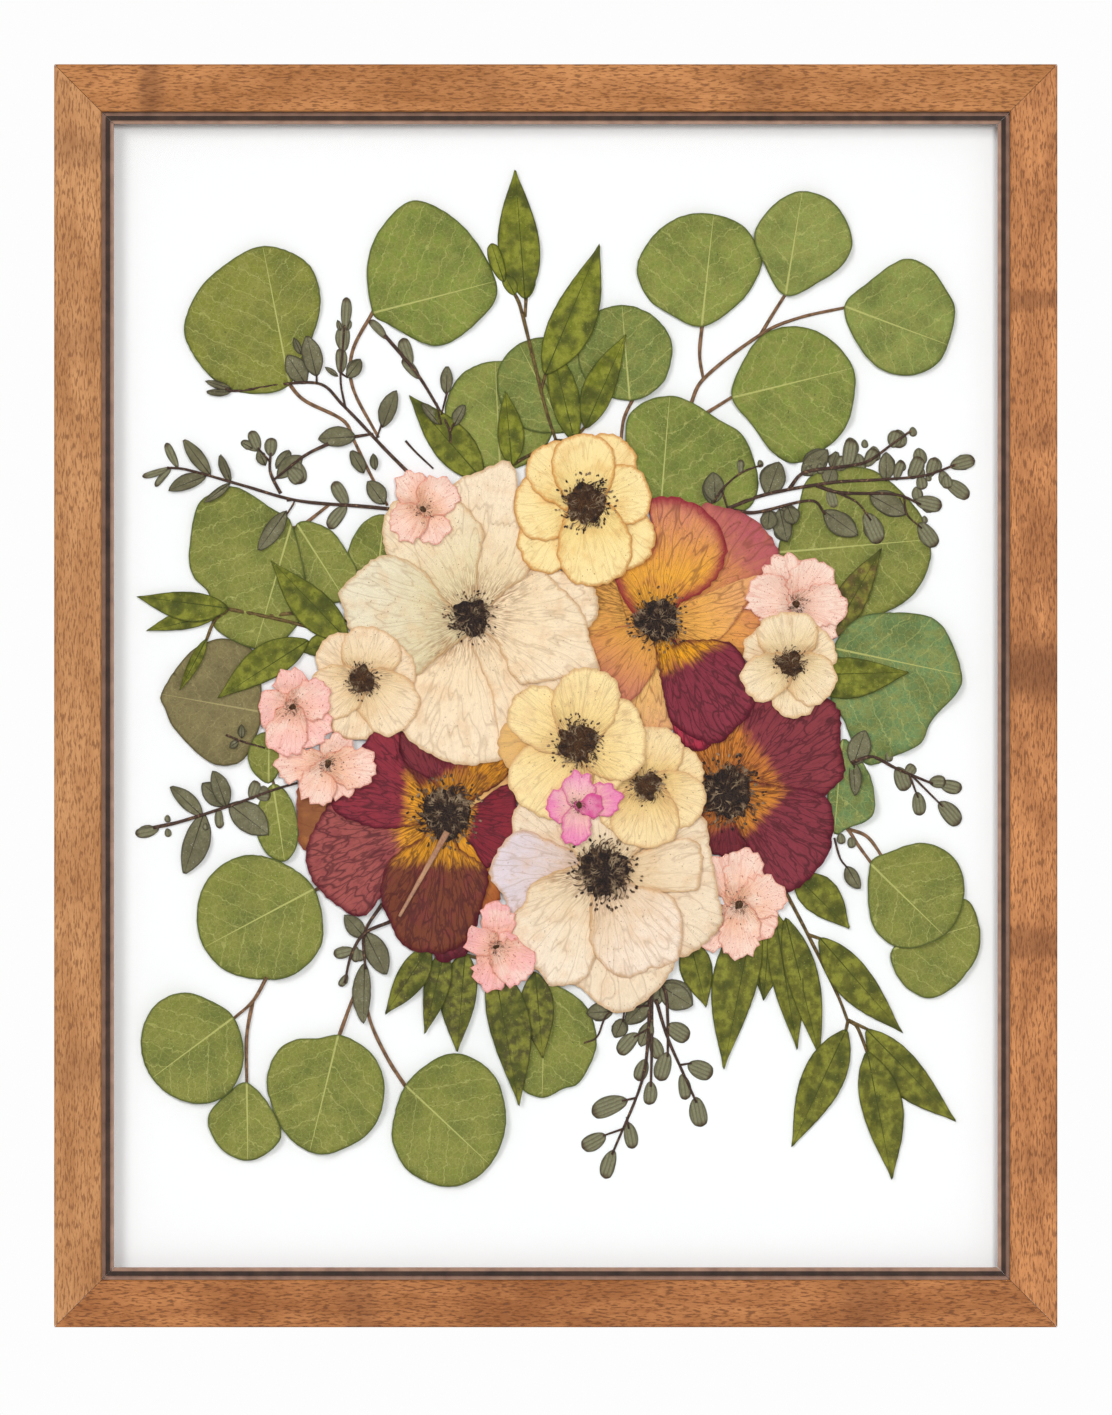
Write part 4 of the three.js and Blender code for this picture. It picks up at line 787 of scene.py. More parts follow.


# Plants, read on the photo in pixels, from the board to the glass within each kind
eucalyptus = [
    {"name": "eucalyptus_leaf_top_left",
     "stems": [[[286, 380], [303, 399], [343, 420], [354, 441], [371, 476], [387, 505]]],
     "leaves": [[[[289, 384], [251, 393], [214, 380], [184, 336], [192, 299], [217, 269], [262, 245],
         [306, 261], [320, 297], [312, 336]]]]},
    {"name": "eucalyptus_leaf_top_middle",
     "stems": [[[374, 308], [352, 350], [352, 386], [378, 437]]],
     "leaves": [[[[372, 312], [367, 262], [382, 225], [415, 199], [464, 226], [496, 280], [489, 309],
         [439, 345], [385, 322]]]]},
    {"name": "eucalyptus_spray_top_right",
     "stems": [[[690, 406], [704, 378], [762, 333], [799, 317], [848, 306]], [[703, 320], [700, 354],
         [704, 380]], [[761, 334], [771, 317], [788, 290]], [[704, 414], [736, 394]], [[690, 406],
         [704, 414]]],
     "leaves": [[[[702, 326], [668, 312], [647, 296], [637, 266], [654, 234], [682, 215], [714, 213],
         [744, 225], [762, 255], [758, 276], [739, 303]], [[845, 305], [868, 282], [904, 258], [930, 266],
         [946, 287], [956, 308], [949, 344], [936, 365], [909, 375], [879, 367], [856, 340]], [[732, 397],
         [741, 365], [762, 335], [794, 325], [828, 336], [854, 367], [854, 402], [845, 429], [826, 448],
         [796, 463], [773, 452], [753, 425]]], [[[786, 295], [764, 262], [755, 232], [776, 202], [803, 190],
         [835, 202], [853, 237], [845, 262], [822, 280]]]]},
    {"name": "eucalyptus_leaf_top_centre",
     "stems": [[[642, 383], [625, 415], [621, 440]]],
     "leaves": [[[[630, 400], [661, 385], [672, 357], [670, 335], [651, 313], [622, 304], [591, 315],
         [577, 346], [590, 385]]]]},
    {"name": "eucalyptus_leaf_upper_centre",
     "leaves": [[[[500, 470], [466, 458], [447, 430], [446, 400], [463, 372], [495, 360], [528, 367],
         [550, 390], [555, 425], [535, 458]]]]},
    {"name": "eucalyptus_leaf_upper_right",
     "leaves": [[[[660, 520], [633, 480], [626, 423], [643, 402], [670, 395], [691, 401], [718, 418],
         [744, 436], [759, 479], [749, 508], [710, 520]]]]},
    {"name": "eucalyptus_leaf_aged", "finish": "agedGreen",
     "leaves": [[[[261, 712], [256, 655], [229, 639], [208, 641], [186, 655], [160, 694], [164, 709],
         [175, 731], [210, 763], [240, 762], [256, 735]]]]},
    {"name": "eucalyptus_pair_left",
     "stems": [[[288, 528], [301, 525], [330, 503]]],
     "leaves": [[[[296, 523], [328, 528], [347, 552], [357, 575], [345, 600], [310, 600], [290, 570]]],
         [[[291, 523], [273, 509], [234, 486], [208, 494], [195, 509], [188, 557], [193, 577], [208, 594],
         [214, 628], [254, 649], [278, 646], [306, 602]]]]},
    {"name": "eucalyptus_pair_lower_left",
     "stems": [[[268, 770], [275, 790]]],
     "leaves": [[[[268, 784], [252, 772], [247, 755], [254, 737], [268, 732], [279, 745], [280, 768]],
         [[272, 784], [257, 806], [256, 835], [268, 856], [284, 862], [296, 848], [297, 820],
         [288, 795]]]]},
    {"name": "eucalyptus_leaf_left",
     "stems": [[[312, 892], [325, 885]]],
     "leaves": [[[[314, 889], [286, 865], [251, 855], [221, 865], [201, 890], [196, 920], [203, 948],
         [224, 971], [256, 980], [290, 977], [316, 955], [323, 930]]]]},
    {"name": "eucalyptus_spray_lower_left",
     "stems": [[[266, 978], [252, 1002], [232, 1020]], [[252, 1002], [246, 1037], [246, 1086]]],
     "leaves": [[[[246, 1083], [226, 1095], [208, 1115], [210, 1134], [224, 1153], [247, 1162], [267, 1154],
         [281, 1136], [270, 1108]]], [[[233, 1018], [217, 1005], [185, 993], [157, 1003], [142, 1028],
         [141, 1056], [151, 1079], [171, 1097], [201, 1105], [226, 1096], [240, 1074], [243, 1047]]]]},
    {"name": "eucalyptus_spray_bottom",
     "stems": [[[338, 1038], [356, 990], [365, 975]], [[407, 1090], [387, 1059], [369, 1019], [364, 977]]],
     "leaves": [[[[338, 1035], [318, 1039], [295, 1040], [276, 1053], [266, 1081], [272, 1109], [286, 1136],
         [309, 1153], [332, 1154], [364, 1138], [380, 1115], [384, 1083], [373, 1056], [355, 1042]],
         [[405, 1086], [433, 1061], [456, 1054], [480, 1063], [498, 1082], [506, 1116], [502, 1143],
         [490, 1166], [471, 1182], [444, 1188], [410, 1174], [394, 1149], [392, 1126]]]]},
    {"name": "eucalyptus_leaf_bottom",
     "leaves": [[[[545, 985], [572, 994], [590, 1013], [597, 1042], [591, 1064], [578, 1085], [563, 1090],
         [542, 1099], [520, 1087], [515, 1050], [522, 1010]]]]},
    {"name": "eucalyptus_leaf_right_upper",
     "leaves": [[[[779, 552], [797, 512], [812, 475], [870, 468], [916, 506], [931, 539], [930, 565],
         [916, 592], [893, 609], [856, 619], [815, 590]]]]},
    {"name": "ruscus_leaf_right_upper", "finish": "ruscusGreen",
     "blades": [[830, 640, 883, 547, 32]]},
    {"name": "eucalyptus_leaf_right_middle",
     "leaves": [[[[834, 648], [853, 622], [876, 613], [926, 615], [947, 631], [963, 675], [957, 694],
         [933, 720], [922, 743], [901, 754], [866, 764], [843, 718], [831, 699]]]]},
    {"name": "eucalyptus_pair_right",
     "stems": [[[828, 809], [848, 829], [860, 847], [874, 866]], [[848, 829], [868, 837], [885, 860]]],
     "leaves": [[[[893, 950], [895, 971], [909, 990], [930, 999], [952, 990], [968, 973], [980, 952],
         [980, 924], [966, 899], [930, 910]]], [[[871, 864], [888, 853], [923, 843], [952, 855], [965, 881],
         [961, 914], [945, 936], [912, 949], [888, 943], [871, 919]]]]},
]
ruscus = [
    {"name": "ruscus_leaf_upper_left",
     "blades": [[483, 480, 408, 394, 40]]},
    {"name": "ruscus_sprig_top",
     "stems": [[[513, 290], [520, 305], [533, 357], [546, 409], [556, 440]], [[526, 295], [525, 316]],
         [[556, 440], [575, 440]], [[541, 390], [546, 371]], [[572, 441], [586, 425]], [[512, 464],
         [556, 440]]],
     "blades": [[525, 298, 515, 167, 42], [526, 298, 536, 269, 10], [545, 374, 600, 242, 45],
         [585, 428, 627, 332, 32], [575, 442, 548, 332, 30], [512, 466, 505, 389, 27]],
     "buds": [[504, 281, 491, 242, 15], [515, 294, 505, 275, 14]]},
    {"name": "ruscus_sprig_left",
     "stems": [[[224, 608], [264, 616], [301, 625], [338, 638]], [[269, 616], [291, 613], [319, 614],
         [346, 621]], [[228, 609], [214, 620], [205, 641]], [[306, 641], [319, 653], [338, 638]],
         [[338, 638], [346, 641]]],
     "blades": [[228, 608, 135, 596, 30], [218, 614, 144, 631, 20], [206, 638, 178, 692, 12],
         [348, 641, 270, 560, 38], [308, 640, 216, 699, 36], [338, 628, 303, 620, 20],
         [334, 640, 301, 652, 24]]},
    {"name": "ruscus_leaf_right",
     "blades": [[800, 675, 911, 672, 42]]},
    {"name": "ruscus_spray_lower_right",
     "stems": [[[786, 892], [809, 936], [838, 995], [849, 1023]], [[849, 1021], [846, 1034]], [[849, 1021],
         [870, 1031]], [[850, 1022], [858, 1028], [869, 1056]], [[808, 935], [823, 940]], [[750, 915],
         [786, 892], [800, 875]], [[768, 937], [770, 915], [786, 892]]],
     "blades": [[795, 875, 851, 930, 38], [820, 938, 904, 1034, 38], [847, 1030, 792, 1149, 42],
         [868, 1052, 893, 1182, 42], [867, 1030, 958, 1123, 40], [786, 918, 821, 1061, 32],
         [775, 912, 798, 1052, 33], [755, 912, 724, 1071, 46], [770, 932, 764, 1002, 25]]},
    {"name": "ruscus_fan_bottom",
     "stems": [[[428, 948], [465, 955], [500, 966], [536, 974]]],
     "blades": [[430, 946, 384, 1016, 30], [445, 948, 424, 1036, 26], [465, 952, 457, 1054, 37],
         [493, 962, 519, 1108, 42], [535, 972, 543, 1060, 34]]},
]
seeded = [
    {"name": "seeded_sprig_top_left",
     "stems": [[[412, 476], [386, 450], [343, 405], [315, 382], [236, 390], [224, 388]], [[354, 436],
         [373, 433]]],
     "twigs": [[[345, 408], [340, 380], [342, 349], [344, 324]], [[316, 383], [316, 374]], [[381, 424],
         [376, 438]], [[340, 372], [346, 376]]],
     "blades": [[316, 376, 306, 334, 21], [305, 383, 286, 354, 22], [382, 427, 396, 389, 18],
         [356, 436, 317, 438, 21], [231, 388, 204, 380, 8], [231, 391, 204, 391, 8],
         [346, 377, 361, 358, 14]],
     "buds": [[344, 328, 346, 296, 11], [343, 351, 343, 325, 15], [340, 373, 340, 347, 12]]},
    {"name": "seeded_sprig_top",
     "stems": [[[384, 334], [403, 356], [419, 376], [440, 411], [449, 429], [450, 442]]],
     "twigs": [[[447, 391], [441, 414]], [[436, 402], [441, 424]], [[450, 430], [454, 422]]],
     "blades": [[446, 394, 447, 364, 13], [440, 424, 421, 402, 12], [453, 426, 465, 403, 12]],
     "buds": [[386, 338, 369, 319, 9], [411, 364, 402, 337, 14], [419, 378, 402, 358, 10]]},
    {"name": "seeded_sprig_left_upper",
     "stems": [[[395, 509], [365, 506], [297, 500], [243, 485], [186, 469], [166, 467]], [[280, 493],
         [272, 478], [269, 468], [270, 452]], [[328, 443], [304, 455], [272, 480]]],
     "twigs": [[[270, 462], [257, 447]], [[286, 500], [294, 500], [286, 514]]],
     "blades": [[210, 475, 182, 438, 15], [230, 482, 219, 453, 10], [206, 475, 167, 490, 16],
         [230, 482, 203, 502, 9], [286, 510, 257, 551, 18], [302, 455, 276, 478, 18]],
     "buds": [[168, 467, 141, 476, 7], [170, 468, 154, 486, 7], [177, 467, 165, 442, 9],
         [347, 505, 333, 481, 14], [346, 505, 328, 528, 14], [270, 456, 271, 437, 13],
         [258, 450, 250, 430, 12], [258, 450, 240, 441, 9], [288, 468, 300, 482, 16]]},
    {"name": "seeded_sprig_right_upper",
     "stems": [[[728, 508], [766, 494], [832, 482], [881, 479], [925, 475], [957, 464]], [[790, 488],
         [805, 472], [851, 465], [870, 460], [891, 445], [912, 430]], [[817, 485], [841, 492], [897, 494],
         [922, 504]], [[728, 508], [755, 512], [812, 500], [826, 514]]],
     "twigs": [[[714, 502], [724, 487], [742, 472], [763, 464]], [[722, 489], [728, 508]], [[838, 492],
         [858, 502], [872, 520]], [[905, 497], [908, 514], [923, 528]]],
     "blades": [[716, 502, 714, 471, 22], [768, 495, 780, 461, 26], [802, 474, 829, 449, 22],
         [830, 484, 836, 464, 18], [832, 468, 838, 450, 12], [887, 481, 887, 451, 17],
         [870, 494, 907, 514, 24], [824, 510, 859, 535, 23], [788, 506, 796, 524, 18],
         [770, 510, 768, 530, 18], [780, 508, 788, 542, 20]],
     "buds": [[741, 474, 741, 459, 7], [847, 468, 852, 438, 15], [893, 447, 899, 430, 15],
         [867, 466, 876, 448, 13], [838, 470, 846, 456, 14], [897, 480, 903, 460, 10],
         [912, 478, 921, 456, 15], [930, 477, 936, 457, 12], [951, 466, 976, 459, 15],
         [942, 470, 950, 486, 12], [946, 480, 970, 497, 15], [916, 500, 943, 506, 16],
         [830, 486, 836, 508, 12], [866, 512, 880, 543, 19], [920, 522, 937, 546, 17]]},
    {"name": "seeded_sprig_left_lower",
     "stems": [[[152, 828], [179, 822], [229, 806], [273, 790], [297, 783]]],
     "blades": [[202, 817, 169, 786, 17], [203, 813, 183, 875, 27], [226, 808, 212, 770, 19],
         [226, 806, 201, 783, 22], [228, 804, 268, 835, 30]],
     "buds": [[158, 829, 134, 834, 11], [218, 808, 219, 829, 9], [250, 800, 256, 781, 12],
         [254, 794, 270, 796, 14]]},
    {"name": "seeded_sprig_below_left",
     "stems": [[[390, 922], [364, 934], [351, 955], [344, 984]], [[382, 904], [364, 934], [365, 970]]],
     "blades": [[365, 939, 344, 915, 18], [364, 932, 386, 976, 24], [364, 963, 363, 1025, 19]],
     "buds": [[353, 950, 333, 955, 12], [356, 947, 355, 963, 9], [347, 975, 339, 987, 8]]},
    {"name": "seeded_sprig_bottom",
     "stems": [[[650, 985], [648, 1044], [641, 1086], [612, 1156]], [[652, 985], [652, 1051], [651, 1088]],
         [[652, 985], [667, 1036], [683, 1073], [697, 1104]], [[650, 985], [664, 988], [668, 1020],
         [668, 1058]]],
     "twigs": [[[623, 1130], [603, 1137]], [[627, 1118], [629, 1130]], [[636, 1099], [622, 1102]],
         [[680, 1066], [692, 1064]], [[648, 1030], [634, 1038]], [[652, 1006], [610, 1013], [597, 1038],
         [584, 1044]], [[625, 1009], [623, 1023]]],
     "blades": [[651, 1021, 640, 1048, 15], [660, 986, 693, 1007, 27], [650, 999, 625, 1025, 20],
         [659, 986, 657, 1007, 12], [614, 1012, 586, 1014, 19], [624, 1019, 615, 1039, 17]],
     "buds": [[614, 1151, 605, 1180, 15], [606, 1136, 582, 1149, 17], [628, 1123, 633, 1150, 14],
         [628, 1101, 592, 1115, 20], [651, 1082, 649, 1106, 14], [646, 1060, 638, 1082, 14],
         [668, 1053, 660, 1082, 17], [682, 1075, 686, 1101, 13], [696, 1098, 702, 1128, 18],
         [688, 1065, 713, 1076, 19], [667, 1026, 689, 1040, 19], [638, 1034, 619, 1055, 16],
         [652, 1038, 660, 1060, 14]]},
    {"name": "seeded_sprig_right_lower",
     "stems": [[[852, 763], [873, 757], [898, 769], [934, 784]]],
     "twigs": [[[910, 774], [919, 798]], [[912, 775], [944, 807]], [[855, 762], [855, 768]]],
     "blades": [[854, 766, 866, 730, 24], [854, 760, 856, 797, 13]],
     "buds": [[898, 767, 907, 791, 17], [907, 775, 915, 765, 12], [918, 792, 921, 816, 14],
         [930, 782, 947, 782, 13], [940, 783, 963, 789, 14], [940, 802, 960, 825, 18]]},
]
flowers = [
    {"name": "anemone_burgundy_right", "finish": "burgundyPetal", "boss": [727, 793, 27],
     "petals": [[[[727, 793], [748, 846], [762, 870], [731, 860], [707, 850], [698, 820]]], [[[720, 800],
         [690, 762], [700, 735], [740, 705], [790, 690], [828, 698], [841, 714], [841, 744], [846, 769],
         [838, 784], [818, 800], [790, 790]]], [[[727, 793], [790, 787], [828, 798], [833, 842], [817, 872],
         [791, 892], [765, 881], [748, 846]]]]},
    {"name": "anemone_orange", "finish": "orangePetal", "boss": [658, 620, 22],
     "petals": [[[[658, 620], [700, 508], [721, 506], [749, 516], [765, 530], [779, 553], [765, 624],
         [747, 657], [700, 650]], [[658, 620], [640, 680], [629, 703], [646, 734], [676, 729], [700, 748],
         [690, 690]], [[658, 620], [612, 562], [588, 580], [586, 640], [610, 700], [640, 690]], [[658, 620],
         [672, 725], [694, 751], [712, 743], [705, 700]]], [[[590, 581], [616, 581], [636, 600], [664, 625],
         [661, 653], [651, 677], [629, 703], [612, 700], [598, 673], [585, 640]], [[658, 620], [680, 604],
         [759, 575], [743, 608], [721, 638], [700, 646], [678, 640]]], [[[658, 620], [615, 581], [637, 561],
         [653, 534], [649, 501], [668, 496], [688, 500], [710, 514], [726, 538], [723, 567], [704, 591],
         [680, 604]], [[658, 620], [665, 644], [692, 640], [729, 642], [745, 661], [755, 704], [735, 730],
         [720, 743], [702, 741], [679, 729], [667, 711]]]]},
    {"name": "anemone_burgundy_left", "finish": "burgundyPetal", "boss": [446, 814, 26],
     "petals": [[[[446, 814], [360, 780], [310, 788], [297, 790], [298, 829], [304, 851], [360, 850]],
         [[446, 830], [433, 954], [461, 958], [469, 949], [478, 900]], [[446, 814], [470, 801], [511, 770],
         [511, 790], [470, 830]], [[446, 814], [405, 806], [388, 765], [398, 732], [432, 745], [458, 775]],
         [[446, 814], [470, 825], [496, 860], [498, 905], [474, 912], [450, 862]]], [[[446, 814],
         [400, 800], [334, 801], [317, 823], [306, 847], [308, 871], [319, 890], [343, 910], [363, 917],
         [384, 893], [398, 867], [426, 842]], [[446, 814], [437, 788], [402, 760], [400, 731], [443, 760],
         [496, 756], [511, 764], [502, 781], [467, 805]], [[446, 814], [469, 808], [498, 788], [513, 786],
         [517, 831], [489, 869], [470, 843]]], [[[446, 814], [422, 825], [384, 829], [354, 822], [331, 806],
         [345, 765], [367, 740], [372, 729], [398, 729], [400, 755], [426, 794]], [[446, 814], [457, 845],
         [487, 871], [483, 903], [467, 940], [441, 954], [404, 947], [391, 925], [380, 895], [390, 859],
         [421, 837]]]]},
    {"name": "anemone_cream_large", "finish": "creamPetal", "boss": [471, 617, 19],
     "petals": [[[[471, 617], [530, 568], [587, 581], [597, 596], [597, 617], [587, 627], [540, 640]],
         [[471, 617], [410, 660], [400, 727], [444, 761], [481, 764], [511, 754], [509, 714], [519, 697],
         [505, 646]], [[471, 617], [540, 640], [572, 680], [562, 712], [536, 738], [504, 748], [490, 690]]],
         [[[471, 617], [532, 568], [559, 585], [582, 610], [591, 642], [599, 674], [568, 678], [519, 682],
         [494, 640]], [[471, 617], [465, 540], [452, 486], [477, 472], [507, 460], [517, 478], [515, 510],
         [532, 566], [500, 596]]], [[[471, 617], [400, 570], [385, 551], [383, 520], [400, 498], [456, 500],
         [475, 518], [484, 530], [481, 549], [477, 575]]], [[[471, 617], [452, 606], [420, 568], [383, 555],
         [351, 577], [338, 594], [343, 608], [349, 629], [380, 668], [410, 678], [432, 662]]]]},
    {"name": "anemone_yellow", "finish": "yellowPetal", "boss": [586, 503, 21],
     "petals": [[[586, 503, 528, 566, 62], [586, 503, 647, 560, 60], [586, 503, 620, 436, 60]],
         [[586, 503, 514, 510, 70], [586, 503, 651, 492, 62], [586, 503, 535, 450, 60]],
         [[586, 503, 582, 433, 64], [586, 503, 598, 586, 75]]]},
    {"name": "anemone_cream_left", "finish": "creamPetal", "boss": [362, 680, 14],
     "petals": [[[362, 680, 322, 642, 50], [362, 680, 414, 662, 50], [362, 680, 348, 740, 50]],
         [[362, 680, 375, 627, 60], [362, 680, 408, 726, 62], [362, 680, 312, 703, 54]]]},
    {"name": "blossom_peach_lower", "finish": "pinkPetal", "boss": [739, 906, 8],
     "petals": [[[739, 906, 703, 948, 38], [739, 906, 716, 856, 34], [739, 906, 772, 938, 42]],
         [[739, 906, 746, 849, 40], [739, 906, 784, 890, 42], [739, 906, 738, 959, 42]]]},
    {"name": "anemone_cream_lower", "finish": "creamPetal", "boss": [604, 872, 26],
     "petals": [[[[604, 872], [660, 830], [702, 816], [711, 851], [719, 896], [721, 927], [678, 959],
         [640, 930]], [[604, 872], [560, 800], [517, 806], [517, 845], [560, 870]], [[604, 872], [560, 960],
         [549, 986], [573, 986], [623, 1014], [676, 963], [640, 920]]], [[[604, 872], [560, 845],
         [517, 831], [489, 871], [504, 898], [511, 921], [530, 925], [560, 900]], [[604, 872], [631, 855],
         [684, 838], [702, 849], [700, 880], [694, 892], [640, 890]], [[604, 872], [572, 850], [566, 815],
         [600, 798], [640, 812], [642, 845]]], [[[604, 872], [537, 880], [523, 904], [511, 921], [511, 949],
         [541, 974], [549, 986], [582, 982], [596, 959], [612, 915]]], [[[604, 872], [590, 925], [596, 957],
         [623, 978], [650, 970], [678, 961], [683, 935], [681, 912], [670, 896], [631, 882]]]]},
    {"name": "anemone_cream_small", "finish": "creamPetal", "boss": [647, 786, 14],
     "petals": [[[647, 786, 612, 772, 40], [647, 786, 702, 762, 50], [647, 786, 605, 826, 50]],
         [[647, 786, 664, 727, 56], [647, 786, 703, 812, 56], [647, 786, 648, 848, 70]]]},
    {"name": "anemone_cream_middle", "finish": "creamPetal", "boss": [578, 743, 20],
     "petals": [[[578, 743, 497, 745, 60], [578, 743, 616, 790, 62]], [[578, 743, 522, 806, 82],
         [578, 743, 512, 700, 62], [578, 743, 646, 734, 84]], [[578, 743, 598, 669, 66]]]},
    {"name": "blossom_bright_pink", "finish": "brightPink", "boss": [578, 806, 6],
     "petals": [[[578, 806, 622, 796, 32], [578, 806, 546, 806, 36], [578, 806, 573, 845, 30]],
         [[578, 806, 578, 771, 30], [578, 806, 604, 806, 22]]]},
    {"name": "blossom_pink_lower", "finish": "pinkPetal", "boss": [496, 948, 6],
     "petals": [[[496, 948, 497, 902, 34], [496, 948, 488, 990, 38], [496, 948, 518, 938, 20]],
         [[496, 948, 466, 938, 32], [496, 948, 528, 978, 42]]]},
    {"name": "blossom_pale_right", "finish": "pinkPetal", "boss": [797, 604, 8],
     "petals": [[[797, 604, 832, 640, 40], [797, 604, 764, 626, 38], [797, 604, 776, 556, 44]],
         [[797, 604, 748, 592, 46], [797, 604, 828, 564, 44], [797, 604, 847, 604, 44]]]},
    {"name": "anemone_cream_right", "finish": "creamPetal", "boss": [790, 663, 13],
     "petals": [[[790, 663, 746, 640, 44], [790, 663, 834, 642, 50], [790, 663, 799, 718, 46]],
         [[790, 663, 784, 612, 62], [790, 663, 830, 696, 52], [790, 663, 746, 692, 46]]]},
    {"name": "blossom_peach_left", "finish": "pinkPetal", "boss": [327, 764, 7],
     "petals": [[[327, 764, 274, 764, 36], [327, 764, 346, 737, 34], [327, 764, 348, 796, 36]],
         [[327, 764, 310, 803, 40], [327, 764, 376, 768, 42]]]},
    {"name": "blossom_pink_left", "finish": "pinkPetal", "boss": [292, 707, 7],
     "petals": [[[292, 707, 292, 669, 36], [292, 707, 259, 714, 42], [292, 707, 322, 743, 44]],
         [[292, 707, 329, 692, 42], [292, 707, 284, 756, 42]]]},
    {"name": "blossom_peach_top", "finish": "pinkPetal", "boss": [423, 509, 6],
     "petals": [[[423, 509, 404, 472, 34], [423, 509, 441, 541, 34]], [[423, 509, 394, 534, 40],
         [423, 509, 452, 484, 42]]]},
]


# Tones of the leaves, in the order of the lists
leafTones = {
    "eucalyptus_leaf_top_left": ["#8A8C38"],
    "eucalyptus_leaf_top_middle": ["#87943E"],
    "eucalyptus_spray_top_right": ["#8C9644", "#8E9A4C", "#86923F", "#929C4E"],
    "eucalyptus_leaf_top_centre": ["#7F8C44"],
    "eucalyptus_leaf_upper_centre": ["#8F9846"],
    "eucalyptus_leaf_upper_right": ["#84903E"],
    "eucalyptus_leaf_aged": ["#83764E"],
    "eucalyptus_leaf_right_middle": ["#74905A"],
    "ruscus_sprig_top": ["#777C20"],
    "ruscus_leaf_right_upper": ["#6E5A32"],
    "ruscus_fan_bottom": ["#55502A"],
    "ruscus_spray_lower_right": ["#6C6A26"],
}

# Foliage: its finish and tone where the list above names none, then its stems' tone, their widths in
# pixels from wide to narrow, and their thickness in mm
kinds = {
    "eucalyptus": {"look": "eucalyptus_leaf", "tone": "#888C3E", "stem": "#8E6A4C", "widths": (3.9, 3.0),
                   "thickness": 0.7, "slot": "eucalyptus_leaf"},
    "ruscus": {"look": "ruscus_leaf", "tone": "#6C7022", "stem": "#6E5A30", "widths": (3.8, 3.0),
               "thickness": 0.5, "slot": "ruscus_leaf"},
    "seeded": {"look": "seeded_leaf", "tone": "#7A7658", "stem": "#4A342C", "widths": (3.8, 2.4),
               "thickness": 0.4, "slot": "seeded_sprig"},
}

# Tones of the petals: of the base, of the rim, and a finish where it isn't the flower's own
petalTones = {
    "anemone_cream_large": [("#FCE2BC", "#FBE4C4")] * 4 + [
        ("#F4DDB4", "#FCE6C8"), ("#EBD9AE", "#F8E4C4"), ("#E4D4AA", "#EFE3C6")],
    "anemone_cream_lower": [("#EED6B4", "#F6E0C4")] * 3 + [
        ("#E4C8B4", "#E6D6DC"), ("#E8C89C", "#F6DEBE"), ("#F0D8B0", "#FAE6CC"), ("#F2D8B4", "#FBE8D0"),
        ("#F0D2B0", "#FBE6D2")],
    "anemone_yellow": [("#FBDC90", "#FFE6A8")] * 8,
    "anemone_cream_left": [("#F2D4A4", "#FAE2C0")] * 6,
    "anemone_cream_right": [("#EED2A0", "#FAE4C0")] * 6,
    "anemone_cream_small": [("#F2CE88", "#FBE0AC")] * 6,
    "anemone_cream_middle": [("#C88C3C", "#E8B870")] + [("#F6D48C", "#FFE4A8")] * 5,
    "anemone_orange": [
        ("#EBA450", "#B85A60"), ("#F2C070", "#E4A878"), ("#E8A850", "#DC9C68"),
        ("#C83C50", "#B03048", "burgundy_petal"), ("#E8A44C", "#CC7E62"), ("#F0AE50", "#E8A870"),
        ("#F0AA38", "#D48468", "rimmed_petal"), ("#F0A41A", "#842C3C", "burgundy_petal")],
    "anemone_burgundy_left": [
        ("#B07840", "#8E5632", "orange_petal"), ("#7A2430", "#6A1E2C"),
        ("#F0C078", "#E8B070", "orange_petal"), ("#E8981E", "#7A3426"),
        ("#F0A51E", "#A85A28", "orange_petal"), ("#F0A428", "#A0504C"), ("#D88E1C", "#7C2C34"),
        ("#F0A428", "#82202E"), ("#F0A428", "#8E2C3A"), ("#E09820", "#743A24")],
    "anemone_burgundy_right": [("#C87428", "#6E2028"), ("#D88430", "#86343C"), ("#DC8A30", "#84303C")],
    "blossom_pale_right": [("#F8CDB8", "#FCDCCC")] * 6,
    "blossom_bright_pink": [("#F8C0B8", "#F08CB8")] * 3 + [("#F8C4BC", "#F2A0C0"), ("#DC5A98", "#D24A8C")],
    "blossom_pink_lower": [("#F8C0A8", "#FBBCBC")] * 5,
    "blossom_pink_left": [("#FAC4AC", "#FCC8C0")] * 6,
}
plainPetal = ("#F8C4A4", "#FCD6C6")
leafEdge = "#5E5A40"

# Flower centres: their radius comes from the lists, in pixels. One over small is high and full, one
# under tiny is drawn together, and those in brown are matted brown in place of black-brown
bossLook = {
    "inner": "#1E1718", "outer": "#4A3A34", "brownInner": "#3E2516", "brownOuter": "#7A5230",
    "tall": 1.0, "lowTall": 0.6, "small": 12, "tiny": 9,
    "brown": {"anemone_yellow", "anemone_cream_left", "anemone_cream_small", "anemone_cream_middle",
              "anemone_cream_right"},
}


